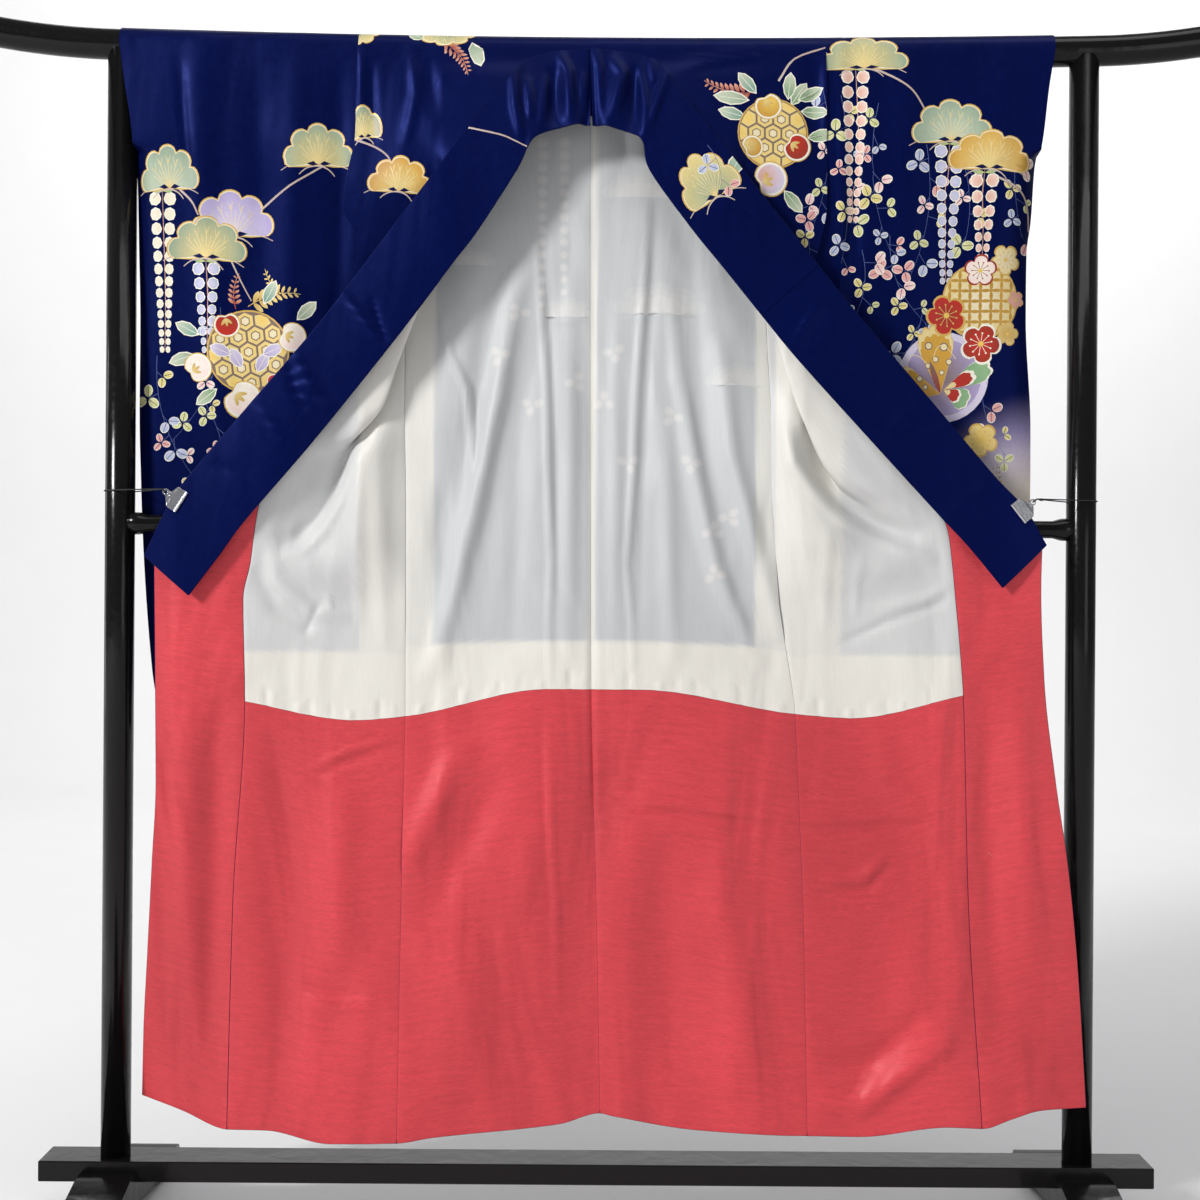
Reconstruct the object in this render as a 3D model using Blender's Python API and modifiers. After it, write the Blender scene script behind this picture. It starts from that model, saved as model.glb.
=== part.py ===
"""A lined furisode kimono hung wide open on a black lacquered kimono stand.

Metres, +Z up. The origin is on the floor under the middle of the stand, the opened front faces -Y and the
bar runs along X. Tables hold millimetres, and their columns are named by the tuples above them. Left and right
are as seen from the front.
"""
from bisect import bisect_right
from math import acos, atan2, cos, exp, pi, sin
from typing import NamedTuple

import bmesh
import bpy
from mathutils import Matrix, Vector

MM = 0.001
PART_NAME = "furisode kimono on a kimono stand"
LEFT, RIGHT = -1, 1

# Stand
BAR_RADIUS = 0.022
BAR_CENTRE_Z = 1.707
BAR_SAG = 0.009
BAR_SAG_SPAN = 0.70
BAR_HALF_LENGTH = 0.94
BAR_UPTURN_START = 0.72
BAR_UPTURN = 0.020
POST_X = 0.7065
POST_RADIUS = 0.0215
MIDDLE_BAR_Z = 1.0125
RAIL_LENGTH = 1.62
RAIL_DEPTH = 0.066
RAIL_HEIGHT = 0.030
RAIL_TOP_Z = 0.085
FOOT_WIDTH = 0.080
FOOT_EDGE = 0.0025
RAIL_EDGE = 0.002
POST_TOP_Z = 1.706
POST_SIDES = 24
FIT_GAP = 0.0003

# Middle bar's swollen end, from inside the post inwards: distance from the middle, radius
MIDDLE_BAR_END = [(700, 16.5), (678, 16.5), (674, 15.6), (664, 12.8), (350, 12.8)]

# Side of a foot, its underside first: y, z
FOOT_OUTLINE = [(-210, 0), (-138, 0), (-132, 6), (-104, 14), (-52, 18), (52, 18), (104, 14), (132, 6), (138, 0),
                (210, 0), (213, 6), (213, 24), (208, 31), (199, 34), (190, 32), (183, 31), (150, 38), (105, 55),
                (66, 67), (45, 70), (33.3, 70), (33.3, 54.7), (-33.3, 54.7), (-33.3, 70), (-45, 70), (-66, 67),
                (-105, 55), (-150, 38), (-190, 30), (-207, 27), (-213, 20), (-213, 6)]

# Cloth
CLOTH = 0.0010
LINING = 0.0010
COLLAR_THICKNESS = 0.0016
OVER_COLLAR_THICKNESS = 0.0012
SEAM_GAP = 0.0003
LINING_SIDE_INSET = 0.004
OVER_BAR_RADIUS = BAR_RADIUS + 0.0007
OVER_BAR_STEPS = 8
SHOULDER_Z = 1.705
HEM_Z = 0.130
LINING_TOP_Z = 1.620
FRONT_LINING_TOP_Z = 1.375
ARMHOLE_END_Z = 1.530
CUFF_END_Z = 1.549
SLEEVE_BOTTOM_Z = 0.681
SLEEVE_CORNER = 0.050
OVERLAP_TOP_Z = 1.440
OVERLAP_LINING_TOP_Z = 1.100


class Curve:
    """A smooth curve through rows of (key, value) that never swings past them."""

    def __init__(self, keys, values):
        pairs = sorted(zip(keys, values))
        self.keys = [key for key, _ in pairs]
        self.values = [value for _, value in pairs]
        steps = [b - a for a, b in zip(self.keys, self.keys[1:])]
        rises = [(b - a) / step for a, b, step in zip(self.values, self.values[1:], steps)]
        self.slopes = [rises[0]]
        for before, after in zip(rises, rises[1:]):
            same_way = before * after > 0
            self.slopes.append(2 * before * after / (before + after) if same_way else 0.0)
        self.slopes.append(rises[-1])

    def __call__(self, key):
        key = min(max(key, self.keys[0]), self.keys[-1])
        i = min(bisect_right(self.keys, key) - 1, len(self.keys) - 2)
        step = self.keys[i + 1] - self.keys[i]
        t = (key - self.keys[i]) / step
        start, end = self.values[i], self.values[i + 1]
        leave, arrive = self.slopes[i] * step, self.slopes[i + 1] * step
        return (start * (2 * t**3 - 3 * t**2 + 1) + leave * (t**3 - 2 * t**2 + t)
                + end * (3 * t**2 - 2 * t**3) + arrive * (t**3 - t**2))


class Line:
    """Straight lines through rows of (key, value) in millimetres, in metres."""

    def __init__(self, rows):
        self.rows = sorted((key * MM, value * MM) for key, value in rows)

    def __call__(self, key):
        i = min(max(bisect_right(self.rows, (key, 9.0)) - 1, 0), len(self.rows) - 2)
        (start, first), (end, last) = self.rows[i], self.rows[i + 1]
        return mix(first, last, (key - start) / (end - start))


def curve_of(rows):
    """A Curve in metres through (key, value) rows in millimetres."""
    return Curve([key * MM for key, _ in rows], [value * MM for _, value in rows])


def mix(a, b, t):
    return a + (b - a) * t


def through(points, t):
    """A point at t, 0 to 1, on a smooth line through 2-D points."""
    spans = len(points) - 1
    i = min(int(t * spans), spans - 1)
    s = t * spans - i
    p1, p2 = points[i], points[i + 1]
    p0 = points[i - 1] if i else tuple(2 * a - b for a, b in zip(p1, p2))
    p3 = points[i + 2] if i + 2 <= spans else tuple(2 * b - a for a, b in zip(p1, p2))
    return tuple(
        0.5 * (2 * b + (c - a) * s + (2 * a - 5 * b + 4 * c - d) * s**2 + (3 * b - a - 3 * c + d) * s**3)
        for a, b, c, d in zip(p0, p1, p2, p3)
    )


def bar_rise(x):
    """How far the top bar's middle line lies above its lowest point."""
    beyond = max(0.0, abs(x) - BAR_UPTURN_START) / (BAR_HALF_LENGTH - BAR_UPTURN_START)
    return BAR_SAG * (x / BAR_SAG_SPAN) ** 2 + BAR_UPTURN * beyond**2


class FrontRow(NamedTuple):
    """One level section of a front: from the side seam, over the folds, to the overlap seam or collar."""
    z: float
    seam: tuple
    ridge: tuple
    hollow: tuple
    lip: tuple
    middle: tuple
    edge: tuple


def plain_row(z, seam, edge):
    """A front section with no folds."""
    inner = [tuple(mix(a, b, step / 5) for a, b in zip(seam, edge)) for step in range(1, 5)]
    return FrontRow(z, seam, *inner, edge)


FRONTS = {
    LEFT: [
        plain_row(1705, (-358, -22.9), (-21, -22.9)),
        plain_row(1690, (-358, -24.5), (-110, -25)),
        plain_row(1662, (-359, -26), (-131, -35)),
        plain_row(1577, (-361, -26), (-197, -46)),
        FrontRow(1512, (-374, -26), (-335, -32), (-295, -38), (-240, -38), (-232, -47), (-243, -52.4)),
        FrontRow(1477, (-379, -24), (-335, -30), (-290, -32), (-236, -34), (-242, -46), (-266, -53.4)),
        FrontRow(1435, (-360, -21), (-325, -25), (-285, -27), (-238, -31), (-262, -46), (-289, -52)),
        FrontRow(1375, (-357, -13), (-325, -15), (-290, -18), (-246, -28), (-283, -46), (-318, -52)),
        FrontRow(1325, (-288, -3), (-318, -5), (-338, -13), (-268, -32), (-310, -47), (-349, -52)),
        FrontRow(1255, (-291, -7), (-320, -9), (-345, -16), (-294, -36), (-340, -47), (-391, -52)),
        FrontRow(1190, (-288, -12), (-318, -20), (-352, -17), (-316, -40), (-368, -48), (-424, -51)),
        FrontRow(1150, (-287, -14), (-325, -34), (-358, -13), (-350, -38), (-392, -47), (-443, -49)),
        FrontRow(1110, (-286, -16), (-342, -45), (-375, -13), (-405, -29), (-433, -43), (-463, -47)),
        FrontRow(1050, (-285, -18), (-350, -46), (-402, -18), (-438, -27), (-466, -40), (-490, -43)),
        FrontRow(1000, (-284, -18), (-352, -44), (-425, -22), (-455, -26), (-480, -36), (-500, -39)),
        FrontRow(955, (-284, -18), (-345, -34), (-420, -38), (-458, -36), (-485, -34), (-506, -36)),
        plain_row(900, (-284, -18), (-517, -34)),
        plain_row(755, (-283, -19), (-514, -32)),
        plain_row(465, (-287, -22), (-530, -28)),
        plain_row(130, (-291, -24), (-538, -22)),
    ],
    RIGHT: [
        plain_row(1705, (323, -22.9), (-19, -22.9)),
        plain_row(1690, (323, -24.5), (72, -25)),
        plain_row(1662, (324, -26), (93, -35)),
        plain_row(1577, (325, -26), (159, -46)),
        FrontRow(1512, (326, -25), (300, -30), (262, -36), (206, -38), (198, -47), (209, -52.4)),
        FrontRow(1477, (326, -23), (296, -28), (256, -31), (202, -34), (211, -46), (234, -53.4)),
        FrontRow(1435, (319, -20), (288, -24), (250, -27), (204, -31), (234, -46), (268, -52)),
        FrontRow(1375, (300, -12), (276, -14), (250, -17), (214, -28), (255, -46), (306, -52)),
        FrontRow(1325, (239, -3), (268, -5), (292, -13), (238, -32), (286, -47), (340, -52)),
        FrontRow(1255, (245, -7), (272, -9), (302, -14), (262, -36), (316, -47), (382, -52)),
        FrontRow(1190, (248, -12), (278, -24), (318, -10), (284, -38), (348, -48), (414, -51)),
        FrontRow(1150, (249, -14), (276, -34), (326, -8), (302, -38), (368, -48), (434, -50)),
        FrontRow(1110, (250, -16), (278, -40), (330, -9), (322, -38), (392, -47), (454, -48)),
        FrontRow(1075, (250, -17), (290, -43), (342, -13), (350, -34), (412, -45), (468, -45)),
        FrontRow(1040, (251, -18), (305, -45), (372, -19), (404, -28), (444, -40), (484, -42)),
        FrontRow(1000, (252, -18), (322, -44), (400, -24), (440, -27), (474, -36), (502, -39)),
        FrontRow(955, (255, -18), (330, -34), (400, -38), (440, -36), (478, -34), (509, -36)),
        plain_row(900, (261, -18), (515, -34)),
        plain_row(841, (269, -18), (521, -33)),
        plain_row(752, (285, -19), (528, -32)),
        plain_row(465, (299, -22), (537, -31)),
        plain_row(130, (307, -24), (559, -33)),
    ],
}

# Overlap panel's front edge below the collar: z, x, y
OVERLAP_EDGES = {
    LEFT: [(965, -650, -43), (910, -645, -38), (755, -644, -33), (610, -643, -30), (494, -649, -25),
           (349, -658, -14), (240, -666, -1), (130, -671, 11)],
    RIGHT: [(965, 637, -46), (910, 637, -42), (765, 643, -40), (620, 660, -39), (476, 681, -39), (332, 695, -39),
            (130, 708, -39)],
}


class CollarRow(NamedTuple):
    """One line across the collar, from the edge that is sewn to the body to the free edge."""
    sewn: tuple
    sewn_y: float
    free: tuple
    free_y: float


COLLARS = {
    LEFT: [
        CollarRow((-20, 1706), -24.6, (-18, 1592), -40),
        CollarRow((-72, 1700), -24.8, (-45, 1590), -44),
        CollarRow((-112, 1688), -27, (-98, 1571), -50),
        CollarRow((-133, 1662), -37, (-124, 1522), -54),
        CollarRow((-199, 1577), -48, (-179, 1435), -56),
        CollarRow((-252, 1504), -54.5, (-215, 1387), -58),
        CollarRow((-345, 1379), -56, (-267, 1316), -60),
        CollarRow((-409, 1294), -57, (-330, 1234), -61),
        CollarRow((-505, 1181), -56, (-420, 1122), -60),
        CollarRow((-597, 1072), -53, (-511, 1016), -57),
        CollarRow((-626, 1027), -51, (-545, 970), -55),
        CollarRow((-657, 964), -47, (-592, 908), -52),
    ],
    RIGHT: [
        CollarRow((-19, 1706), -24.6, (-17, 1592), -40),
        CollarRow((30, 1700), -24.8, (10, 1588), -44),
        CollarRow((74, 1688), -27, (52, 1567), -50),
        CollarRow((96, 1661), -37, (72, 1512), -54),
        CollarRow((161, 1577), -48, (127, 1441), -56),
        CollarRow((218, 1502), -54.5, (176, 1381), -58),
        CollarRow((312, 1384), -56, (231, 1313), -60),
        CollarRow((377, 1304), -57, (285, 1248), -61),
        CollarRow((468, 1199), -56, (387, 1137), -60),
        CollarRow((562, 1090), -53, (484, 1033), -57),
        CollarRow((610, 1040), -51, (530, 985), -55),
        CollarRow((642, 988), -48, (579, 927), -53),
    ],
}
GATHERED_SPANS = 3
COLLAR_GATHERS = 2.5
COLLAR_GATHER_DEPTH = 0.005
OVER_COLLAR_END_ROW = 6

# Side edge of the back at its own levels, joined by straight lines. Below BACK_JOINED the front starts at it: z, x
BACK_SIDES = {
    LEFT: [(1705, -358), (1620, -358.5), (1530, -359), (1450, -346), (1325, -289), (1190, -288), (1050, -285),
           (900, -284), (755, -283), (610, -285), (465, -287), (300, -289), (130, -291)],
    RIGHT: [(1705, 323), (1620, 323.5), (1530, 324), (1450, 308), (1325, 240), (1190, 248), (1050, 250.5),
            (900, 261), (755, 285), (610, 292), (465, 299), (300, 303), (130, 307)],
}
BACK_JOINED = 1.325
CENTRE_SEAM = [(1705, -20), (1200, -17), (755, -12), (465, -3), (130, 5)]
BACK_DEPTHS = [(1705, 22.7), (1650, 21), (1325, -2.5), (1255, -6.5), (1190, -11.5), (1110, -15.5), (1050, -17.5),
               (900, -17.8), (755, -19), (465, -22), (130, -24)]

# Hem height and the join between the white and the red lining, by place across: x, z
HEM_LINE = [(-680, 172), (-608, 152), (-539, 130), (-481, 129), (-387, 110), (-289, 112), (-241, 120), (-53, 142),
            (5, 158), (23, 154), (151, 134), (296, 127), (379, 127), (514, 143), (560, 142), (601, 156), (644, 170),
            (711, 176)]
LINING_JOINT = [(-520, 755), (-356, 727), (-283, 733), (-72, 774), (59, 774), (288, 740), (366, 735), (530, 770)]


class SleeveRow(NamedTuple):
    """One level of a sleeve: its outer edge, and the depth of its front and back layers."""
    z: float
    outer_x: float
    front_y: float
    back_y: float


SLEEVES = {
    LEFT: [SleeveRow(1705, -706, -22.9, 22.9), SleeveRow(1643, -697, -26, 24.5), SleeveRow(1577, -687, -26, 25),
           SleeveRow(1549, -683, -24.5, 25), SleeveRow(1530, -682, -22.5, 25), SleeveRow(1489, -680, -17, 25), SleeveRow(1400, -678, -8, 25), SleeveRow(1300, -677, 1, 26),
           SleeveRow(1133, -674, 13, 28), SleeveRow(1040, -670, 17, 29), SleeveRow(958, -667, 17.5, 29),
           SleeveRow(754, -655, 18, 28), SleeveRow(681, -644, 19, 27)],
    RIGHT: [SleeveRow(1705, 658, -22.9, 22.9), SleeveRow(1643, 648, -26, 24.5), SleeveRow(1577, 641, -26, 25),
            SleeveRow(1549, 637, -24.5, 25), SleeveRow(1530, 634, -22.5, 25), SleeveRow(1448, 625, -14, 25), SleeveRow(1400, 625, -8, 25), SleeveRow(1300, 626, 1, 26),
            SleeveRow(1133, 627, 13, 28), SleeveRow(1040, 628, 17, 29), SleeveRow(958, 627, 17.5, 29),
            SleeveRow(754, 622, 18, 28), SleeveRow(681, 614, 19, 27)],
}
SLEEVE_INNER = {LEFT: -0.3625, RIGHT: 0.3285}
SLEEVE_COLUMNS = (0.0, 0.16, 0.33, 0.5, 0.67, 0.82, 0.92, 0.975, 1.0)
SLEEVE_ROLL = 0.10
SLEEVE_LEVELS = (0.681, 0.700, 0.754, 0.850, 0.958, 1.040, 1.133, 1.220, 1.300, 1.400, 1.489, 1.530, 1.549,
                 1.577, 1.643, 1.705)



class Clip(NamedTuple):
    """Where a clip grips the collar's edge, and the way from that edge into the cloth."""
    x: float
    y: float
    z: float
    inward: tuple


CLIPS = {
    LEFT: Clip(-612.9, -51.0, 1047.4, (0.841, -0.542)),
    RIGHT: Clip(609.8, -50.3, 1040.0, (-0.787, -0.617)),
}
# Half of a clip, from its neck to the rolled lip and back: distance in from the edge, depth off the middle
JAW_OUTLINE = [(-13, 0.8), (-8, 0.8), (-3, 4.7), (13.0, 4.7), (13.8, 5.4), (13.8, 6.5), (13.0, 7.5), (11.6, 7.8),
               (10.2, 7.2), (9.5, 5.9), (-3.4, 5.9), (-8.6, 1.9), (-13, 1.9)]
JAW_HALF_WIDTH = 0.0165
JAW_DEPTH = 0.020
# A clip from its face: distance in from the edge, place along the edge
JAW_PLAN = [(-14, -4.5), (-8, -4.5), (-3, -17), (15, -17), (15, 17), (-3, 17), (-8, 4.5), (-14, 4.5)]
RING_HOLE_AT = -15.5
RING_HOLE_RADIUS = 2.4
RING_HALF_THICKNESS = 0.0005
RING_OUTLINE = [(-7.5, -3.6), (-7.5, 3.6), (-12.0, 4.2), (-15.5, 5.0), (-18.2, 4.2), (-20.2, 2.2), (-20.6, 0),
                (-20.2, -2.2), (-18.2, -4.2), (-15.5, -5.0), (-12.0, -4.2)]
TIE_RADIUS = 0.0009
KNOT_PLACES = (0.10, 0.13, 0.19, 0.22)
KNOT_SWELL = 2.2
# The elastic's way through the ring: distance in from the collar's edge, depth off the clip's middle
TIE_AT_RING = [(-23, -3.0), (-19, -2.6), (-16.6, -1.9), (-15.6, 0), (-16.6, 1.9), (-19, 2.6), (-23, 3.0)]


class BackFold(NamedTuple):
    """A soft upright fold in the back."""
    x: float
    top: float
    bottom: float
    height: float
    half_width: float


BACK_FOLDS = [
    BackFold(-197, 1500, 900, 4.5, 36),
    BackFold(-78, 1300, 800, 3.5, 34),
    BackFold(50, 1570, 950, 5.0, 40),
    BackFold(185, 1400, 850, 3.5, 38),
]

BACK_SIDE_LINES = {side: Line(BACK_SIDES[side]) for side in (LEFT, RIGHT)}
hem_line = curve_of(HEM_LINE)
lining_joint = curve_of(LINING_JOINT)
centre_seam = curve_of(CENTRE_SEAM)
back_depth = curve_of(BACK_DEPTHS)


def level_z(x, level):
    """Height at a place across, for a level that runs from the bar's own curve down to the hem's."""
    drop = (SHOULDER_Z - level) / (SHOULDER_Z - HEM_Z)
    return mix(SHOULDER_Z + bar_rise(x), hem_line(x), drop)


def level_of(x, z):
    """The level whose height at x is z."""
    top, hem = SHOULDER_Z + bar_rise(x), hem_line(x)
    return mix(SHOULDER_Z, HEM_Z, (top - z) / (top - hem))


class Front:
    """The curves of one front, from its table of sections."""

    def __init__(self, side):
        rows = FRONTS[side]
        self.stations = [
            tuple(curve_of([(row.z, row[column][axis]) for row in rows]) for axis in (0, 1))
            for column in range(1, 7)
        ]
        above, seam_y = self.stations[0]
        side_line = BACK_SIDE_LINES[side]
        self.stations[0] = (lambda level: above(level) if level > BACK_JOINED else side_line(level), seam_y)

    def point(self, across, level):
        x, y = through([(x(level), y(level)) for x, y in self.stations], across)
        return Vector((x, y, level_z(x, level)))


class Overlap:
    """The overlap panel between the front's edge and the collar or its own front edge."""

    def __init__(self, side):
        self.side = side
        self.front = FRONT_CURVES[side]
        sewn = [
            (level_of(row.sewn[0] * MM, row.sewn[1] * MM) / MM, row.sewn[0] - side * 1.5, row.sewn_y + 2.2)
            for row in COLLARS[side][5:-1]
        ]
        rows = sewn + OVERLAP_EDGES[side]
        self.edge_x = curve_of([(level, x) for level, x, _ in rows])
        self.edge_y = curve_of([(level, y) for level, _, y in rows])

    def point(self, across, level):
        seam = self.front.point(1.0, level)
        x = mix(seam.x + self.side * 2 * SEAM_GAP, self.edge_x(level), across)
        y = mix(seam.y, self.edge_y(level), across)
        return Vector((x, y, level_z(x, level)))


def back_ridge(x, level):
    """How far the soft upright folds of the back stand out towards the front."""
    rise = 0.0
    for fold in BACK_FOLDS:
        if fold.bottom * MM < level < fold.top * MM:
            share = sin(pi * (level / MM - fold.bottom) / (fold.top - fold.bottom))
            rise += fold.height * MM * share * exp(-(((x / MM - fold.x) / fold.half_width) ** 2))
    return rise


def back_point(side, across, level):
    """A point of the back, from the centre seam to the side seam."""
    x = mix(centre_seam(level), BACK_SIDE_LINES[side](level), across)
    return Vector((x, back_depth(level) - back_ridge(x, level), level_z(x, level)))


def over_bar_at(x, turn):
    angle = pi * turn
    centre_z = BAR_CENTRE_Z + bar_rise(x)
    return Vector((x, OVER_BAR_RADIUS * cos(angle), centre_z + OVER_BAR_RADIUS * sin(angle)))


def over_bar_point(side, across, turn):
    """A point on the cloth over the bar. turn runs from 0, behind it, to 1, in front."""
    x = mix(centre_seam(SHOULDER_Z), BACK_SIDE_LINES[side](SHOULDER_Z), across)
    return over_bar_at(x, turn)


class Collar:
    """One half of the collar, from the centre back to its lower end."""

    def __init__(self, side):
        rows = COLLARS[side]
        self.lines = [(*row.sewn, row.sewn_y, *row.free, row.free_y) for row in rows]
        self.spans = len(rows) - 1

    def point(self, along, across):
        sx, sz, sy, fx, fz, fy = (value * MM for value in through(self.lines, along))
        crown = 0.002 * sin(pi * across)
        gather = max(0.0, 1 - along * self.spans / GATHERED_SPANS)
        turns = COLLAR_GATHERS * along * self.spans / GATHERED_SPANS
        wave = COLLAR_GATHER_DEPTH * gather * sin(2 * pi * turns) * across
        return Vector((mix(sx, fx, across), mix(sy, fy, across) - crown + wave, mix(sz, fz, across)))


class Sleeve:
    """One sleeve: a folded cloth over the bar, sewn at the outer edge below the cuff and at the bottom."""

    def __init__(self, side):
        rows = SLEEVES[side]
        self.side = side
        self.outer = curve_of([(row.z, row.outer_x) for row in rows])
        self.front_y = curve_of([(row.z, row.front_y) for row in rows])
        self.back_y = curve_of([(row.z, row.back_y) for row in rows])

    def place(self, across, level, back):
        """A point of the front or back layer. level runs down from the bar to the bottom."""
        front_x, front_seam_y = FRONT_CURVES[self.side].stations[0]
        inner = SLEEVE_INNER[self.side]
        if level > ARMHOLE_END_Z:
            inner = (BACK_SIDE_LINES[self.side] if back else front_x)(level) + self.side * 0.0002
        x = mix(inner, self.outer(level), across)
        corner = min(1.0, max(0.0, (across - 0.85) / 0.15))
        bottom = SLEEVE_BOTTOM_Z + SLEEVE_CORNER * (1 - (1 - corner**2) ** 0.5)
        drop = (SHOULDER_Z - level) / (SHOULDER_Z - SLEEVE_BOTTOM_Z)
        z = mix(SHOULDER_Z + bar_rise(x), bottom, drop)
        near, far = self.front_y(level), self.back_y(level)
        beside = max(0.0, 1 - across / 0.4)
        if back:
            layer = mix(far, back_depth(level), beside * min(1.0, max(0.0, (level - 1.44) / 0.09)))
        else:
            layer = mix(near, front_seam_y(level), beside * min(1.0, max(0.0, (level - CUFF_END_Z) / 0.028)))
        open_share = 1.0
        if level < CUFF_END_Z and across > 1 - SLEEVE_ROLL:
            open_share = sin(pi / 2 * (1 - across) / SLEEVE_ROLL)
        if level <= SLEEVE_BOTTOM_Z:
            open_share = 0.0
        return Vector((x, mix((near + far) / 2, layer, open_share), z))

    def over_bar(self, across, turn):
        inner = BACK_SIDE_LINES[self.side](SHOULDER_Z) + self.side * 0.0002
        return over_bar_at(mix(inner, self.outer(SHOULDER_Z), across), turn)


SIDE_NAMES = {LEFT: "left", RIGHT: "right"}
COLLECTIONS = {}
FRONT_CURVES = {side: Front(side) for side in (LEFT, RIGHT)}
OVERLAP_CURVES = {side: Overlap(side) for side in (LEFT, RIGHT)}
COLLAR_CURVES = {side: Collar(side) for side in (LEFT, RIGHT)}
SLEEVE_CURVES = {side: Sleeve(side) for side in (LEFT, RIGHT)}


def material(name, colour, roughness, metallic=0.0):
    made = bpy.data.materials.new(name)
    made.use_nodes = True
    shader = made.node_tree.nodes["Principled BSDF"]
    shader.inputs["Base Color"].default_value = (*colour, 1.0)
    shader.inputs["Roughness"].default_value = roughness
    shader.inputs["Metallic"].default_value = metallic
    return made


def add_object(name, mesh, finish, cutter=False):
    made = bpy.data.objects.new(name, mesh)
    COLLECTIONS[cutter].objects.link(made)
    if cutter:
        made.hide_render = True
        made.display_type = "WIRE"
    else:
        mesh.materials.append(finish)
    return made


def grid_mesh(name, rows, reverse, offset, weld, left_out):
    """A triangulated sheet through rows of points, its normals turned to the cloth's right side."""
    sheet = bmesh.new()
    grid = [[sheet.verts.new(point) for point in row] for row in rows]
    for row, (upper, lower) in enumerate(zip(grid, grid[1:])):
        for i in range(len(upper) - 1):
            if (row, i) in left_out:
                continue
            corners = [upper[i], lower[i], lower[i + 1], upper[i + 1]]
            if reverse:
                corners.reverse()
            sheet.faces.new(corners)
    bmesh.ops.delete(sheet, geom=[vert for vert in sheet.verts if not vert.link_faces], context="VERTS")
    if weld:
        bmesh.ops.remove_doubles(sheet, verts=sheet.verts, dist=0.00001)
    bmesh.ops.triangulate(sheet, faces=sheet.faces, quad_method="FIXED")
    sheet.normal_update()
    moved = [vert.co + vert.normal * offset for vert in sheet.verts]
    for vert, place in zip(sheet.verts, moved):
        vert.co = place
    mesh = bpy.data.meshes.new(name)
    sheet.to_mesh(mesh)
    sheet.free()
    return mesh


def cloth(name, rows, finish, reverse, offset=0.0, thickness=CLOTH, weld=False, left_out=()):
    """A closed wall of cloth: its inner face lies offset from the rows, towards the right side."""
    made = add_object(name, grid_mesh(name, rows, reverse, offset, weld, left_out), finish)
    wall = made.modifiers.new("Wall", "SOLIDIFY")
    wall.thickness = thickness
    wall.offset = 1.0
    return made


def steps(start, end, count):
    return [mix(start, end, i / count) for i in range(count + 1)]


def trimmed(count, width):
    """Places across a panel, drawn in from both seams."""
    inset = SEAM_GAP / width
    return steps(inset, 1 - inset, count)


BACK_LEVELS = (0.130, 0.30, 0.465, 0.61, 0.755, 0.90, 1.05, 1.19, 1.325, 1.45, 1.53, 1.62, 1.705)
BODY_COLUMNS = trimmed(10, 0.3)
OVERLAP_COLUMNS = trimmed(3, 0.12)
LINING_COLUMNS = [*BODY_COLUMNS[:-1], 1 - LINING_SIDE_INSET]
LINING_OFFSET = -(SEAM_GAP + LINING)
# Inside the tight part of the front's fold, where no lining shows, it is left out
FOLD_COLUMNS = (3, 4, 5, 6)
FOLD_OPEN_LEVEL = 1.12


def front_levels(side, top):
    return [top] + [row.z * MM for row in FRONTS[side] if row.z * MM < top - 0.012]


def joint_row(place, columns, gap):
    """The points of a panel along the line where the white lining meets the red."""
    row = []
    for across in columns:
        level = 0.745
        for _ in range(4):
            x = place(across, level).x
            level = level_of(x, lining_joint(x) + gap)
        row.append(place(across, level))
    return row


def build_body(side, finish):
    front = FRONT_CURVES[side]
    rows = [[back_point(side, u, level) for u in BODY_COLUMNS] for level in BACK_LEVELS]
    rows += [[over_bar_point(side, u, turn / OVER_BAR_STEPS) for u in BODY_COLUMNS]
             for turn in range(1, OVER_BAR_STEPS)]
    rows += [[front.point(1 - u, level) for u in BODY_COLUMNS] for level in front_levels(side, SHOULDER_Z)]
    cloth(f"body_{SIDE_NAMES[side]}", rows, finish, side == LEFT)


def build_overlap(side, finish, lining):
    place = OVERLAP_CURVES[side].point
    rows = [[place(u, level) for u in OVERLAP_COLUMNS] for level in front_levels(side, OVERLAP_TOP_Z)]
    cloth(f"overlap_{SIDE_NAMES[side]}", rows, finish, side == RIGHT)
    rows = [[place(u, level) for u in OVERLAP_COLUMNS] for level in front_levels(side, OVERLAP_LINING_TOP_Z)]
    cloth(f"overlap_lining_{SIDE_NAMES[side]}", rows, lining, side == RIGHT, LINING_OFFSET, LINING)


def build_linings(side, white, red):
    name, reverse = SIDE_NAMES[side], side == LEFT

    def on_back(across, level):
        return back_point(side, across, level)

    def on_front(across, level):
        return FRONT_CURVES[side].point(1 - across, level)

    def line(place, level):
        return [place(across, level) for across in LINING_COLUMNS]

    def add(node, rows, finish, left_out=()):
        cloth(f"{node}_{name}", rows, finish, reverse, LINING_OFFSET, LINING, left_out=left_out)

    half_gap = SEAM_GAP / 2
    upper = [line(on_back, level) for level in BACK_LEVELS if 0.80 < level <= LINING_TOP_Z]
    add("back_lining", [joint_row(on_back, LINING_COLUMNS, half_gap), *upper], white)
    lower = [line(on_back, level) for level in BACK_LEVELS if level < 0.70]
    add("back_hem_lining", [*lower, joint_row(on_back, LINING_COLUMNS, -half_gap)], red)
    levels = front_levels(side, FRONT_LINING_TOP_Z)
    upper = [line(on_front, level) for level in levels if level > 0.80]
    in_fold = {(row, i) for row, level in enumerate(levels) if level > FOLD_OPEN_LEVEL for i in FOLD_COLUMNS}
    add("front_lining", [*upper, joint_row(on_front, LINING_COLUMNS, half_gap)], white, in_fold)
    lower = [line(on_front, level) for level in levels if level < 0.70]
    add("front_hem_lining", [joint_row(on_front, LINING_COLUMNS, -half_gap), *lower], red)


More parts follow.
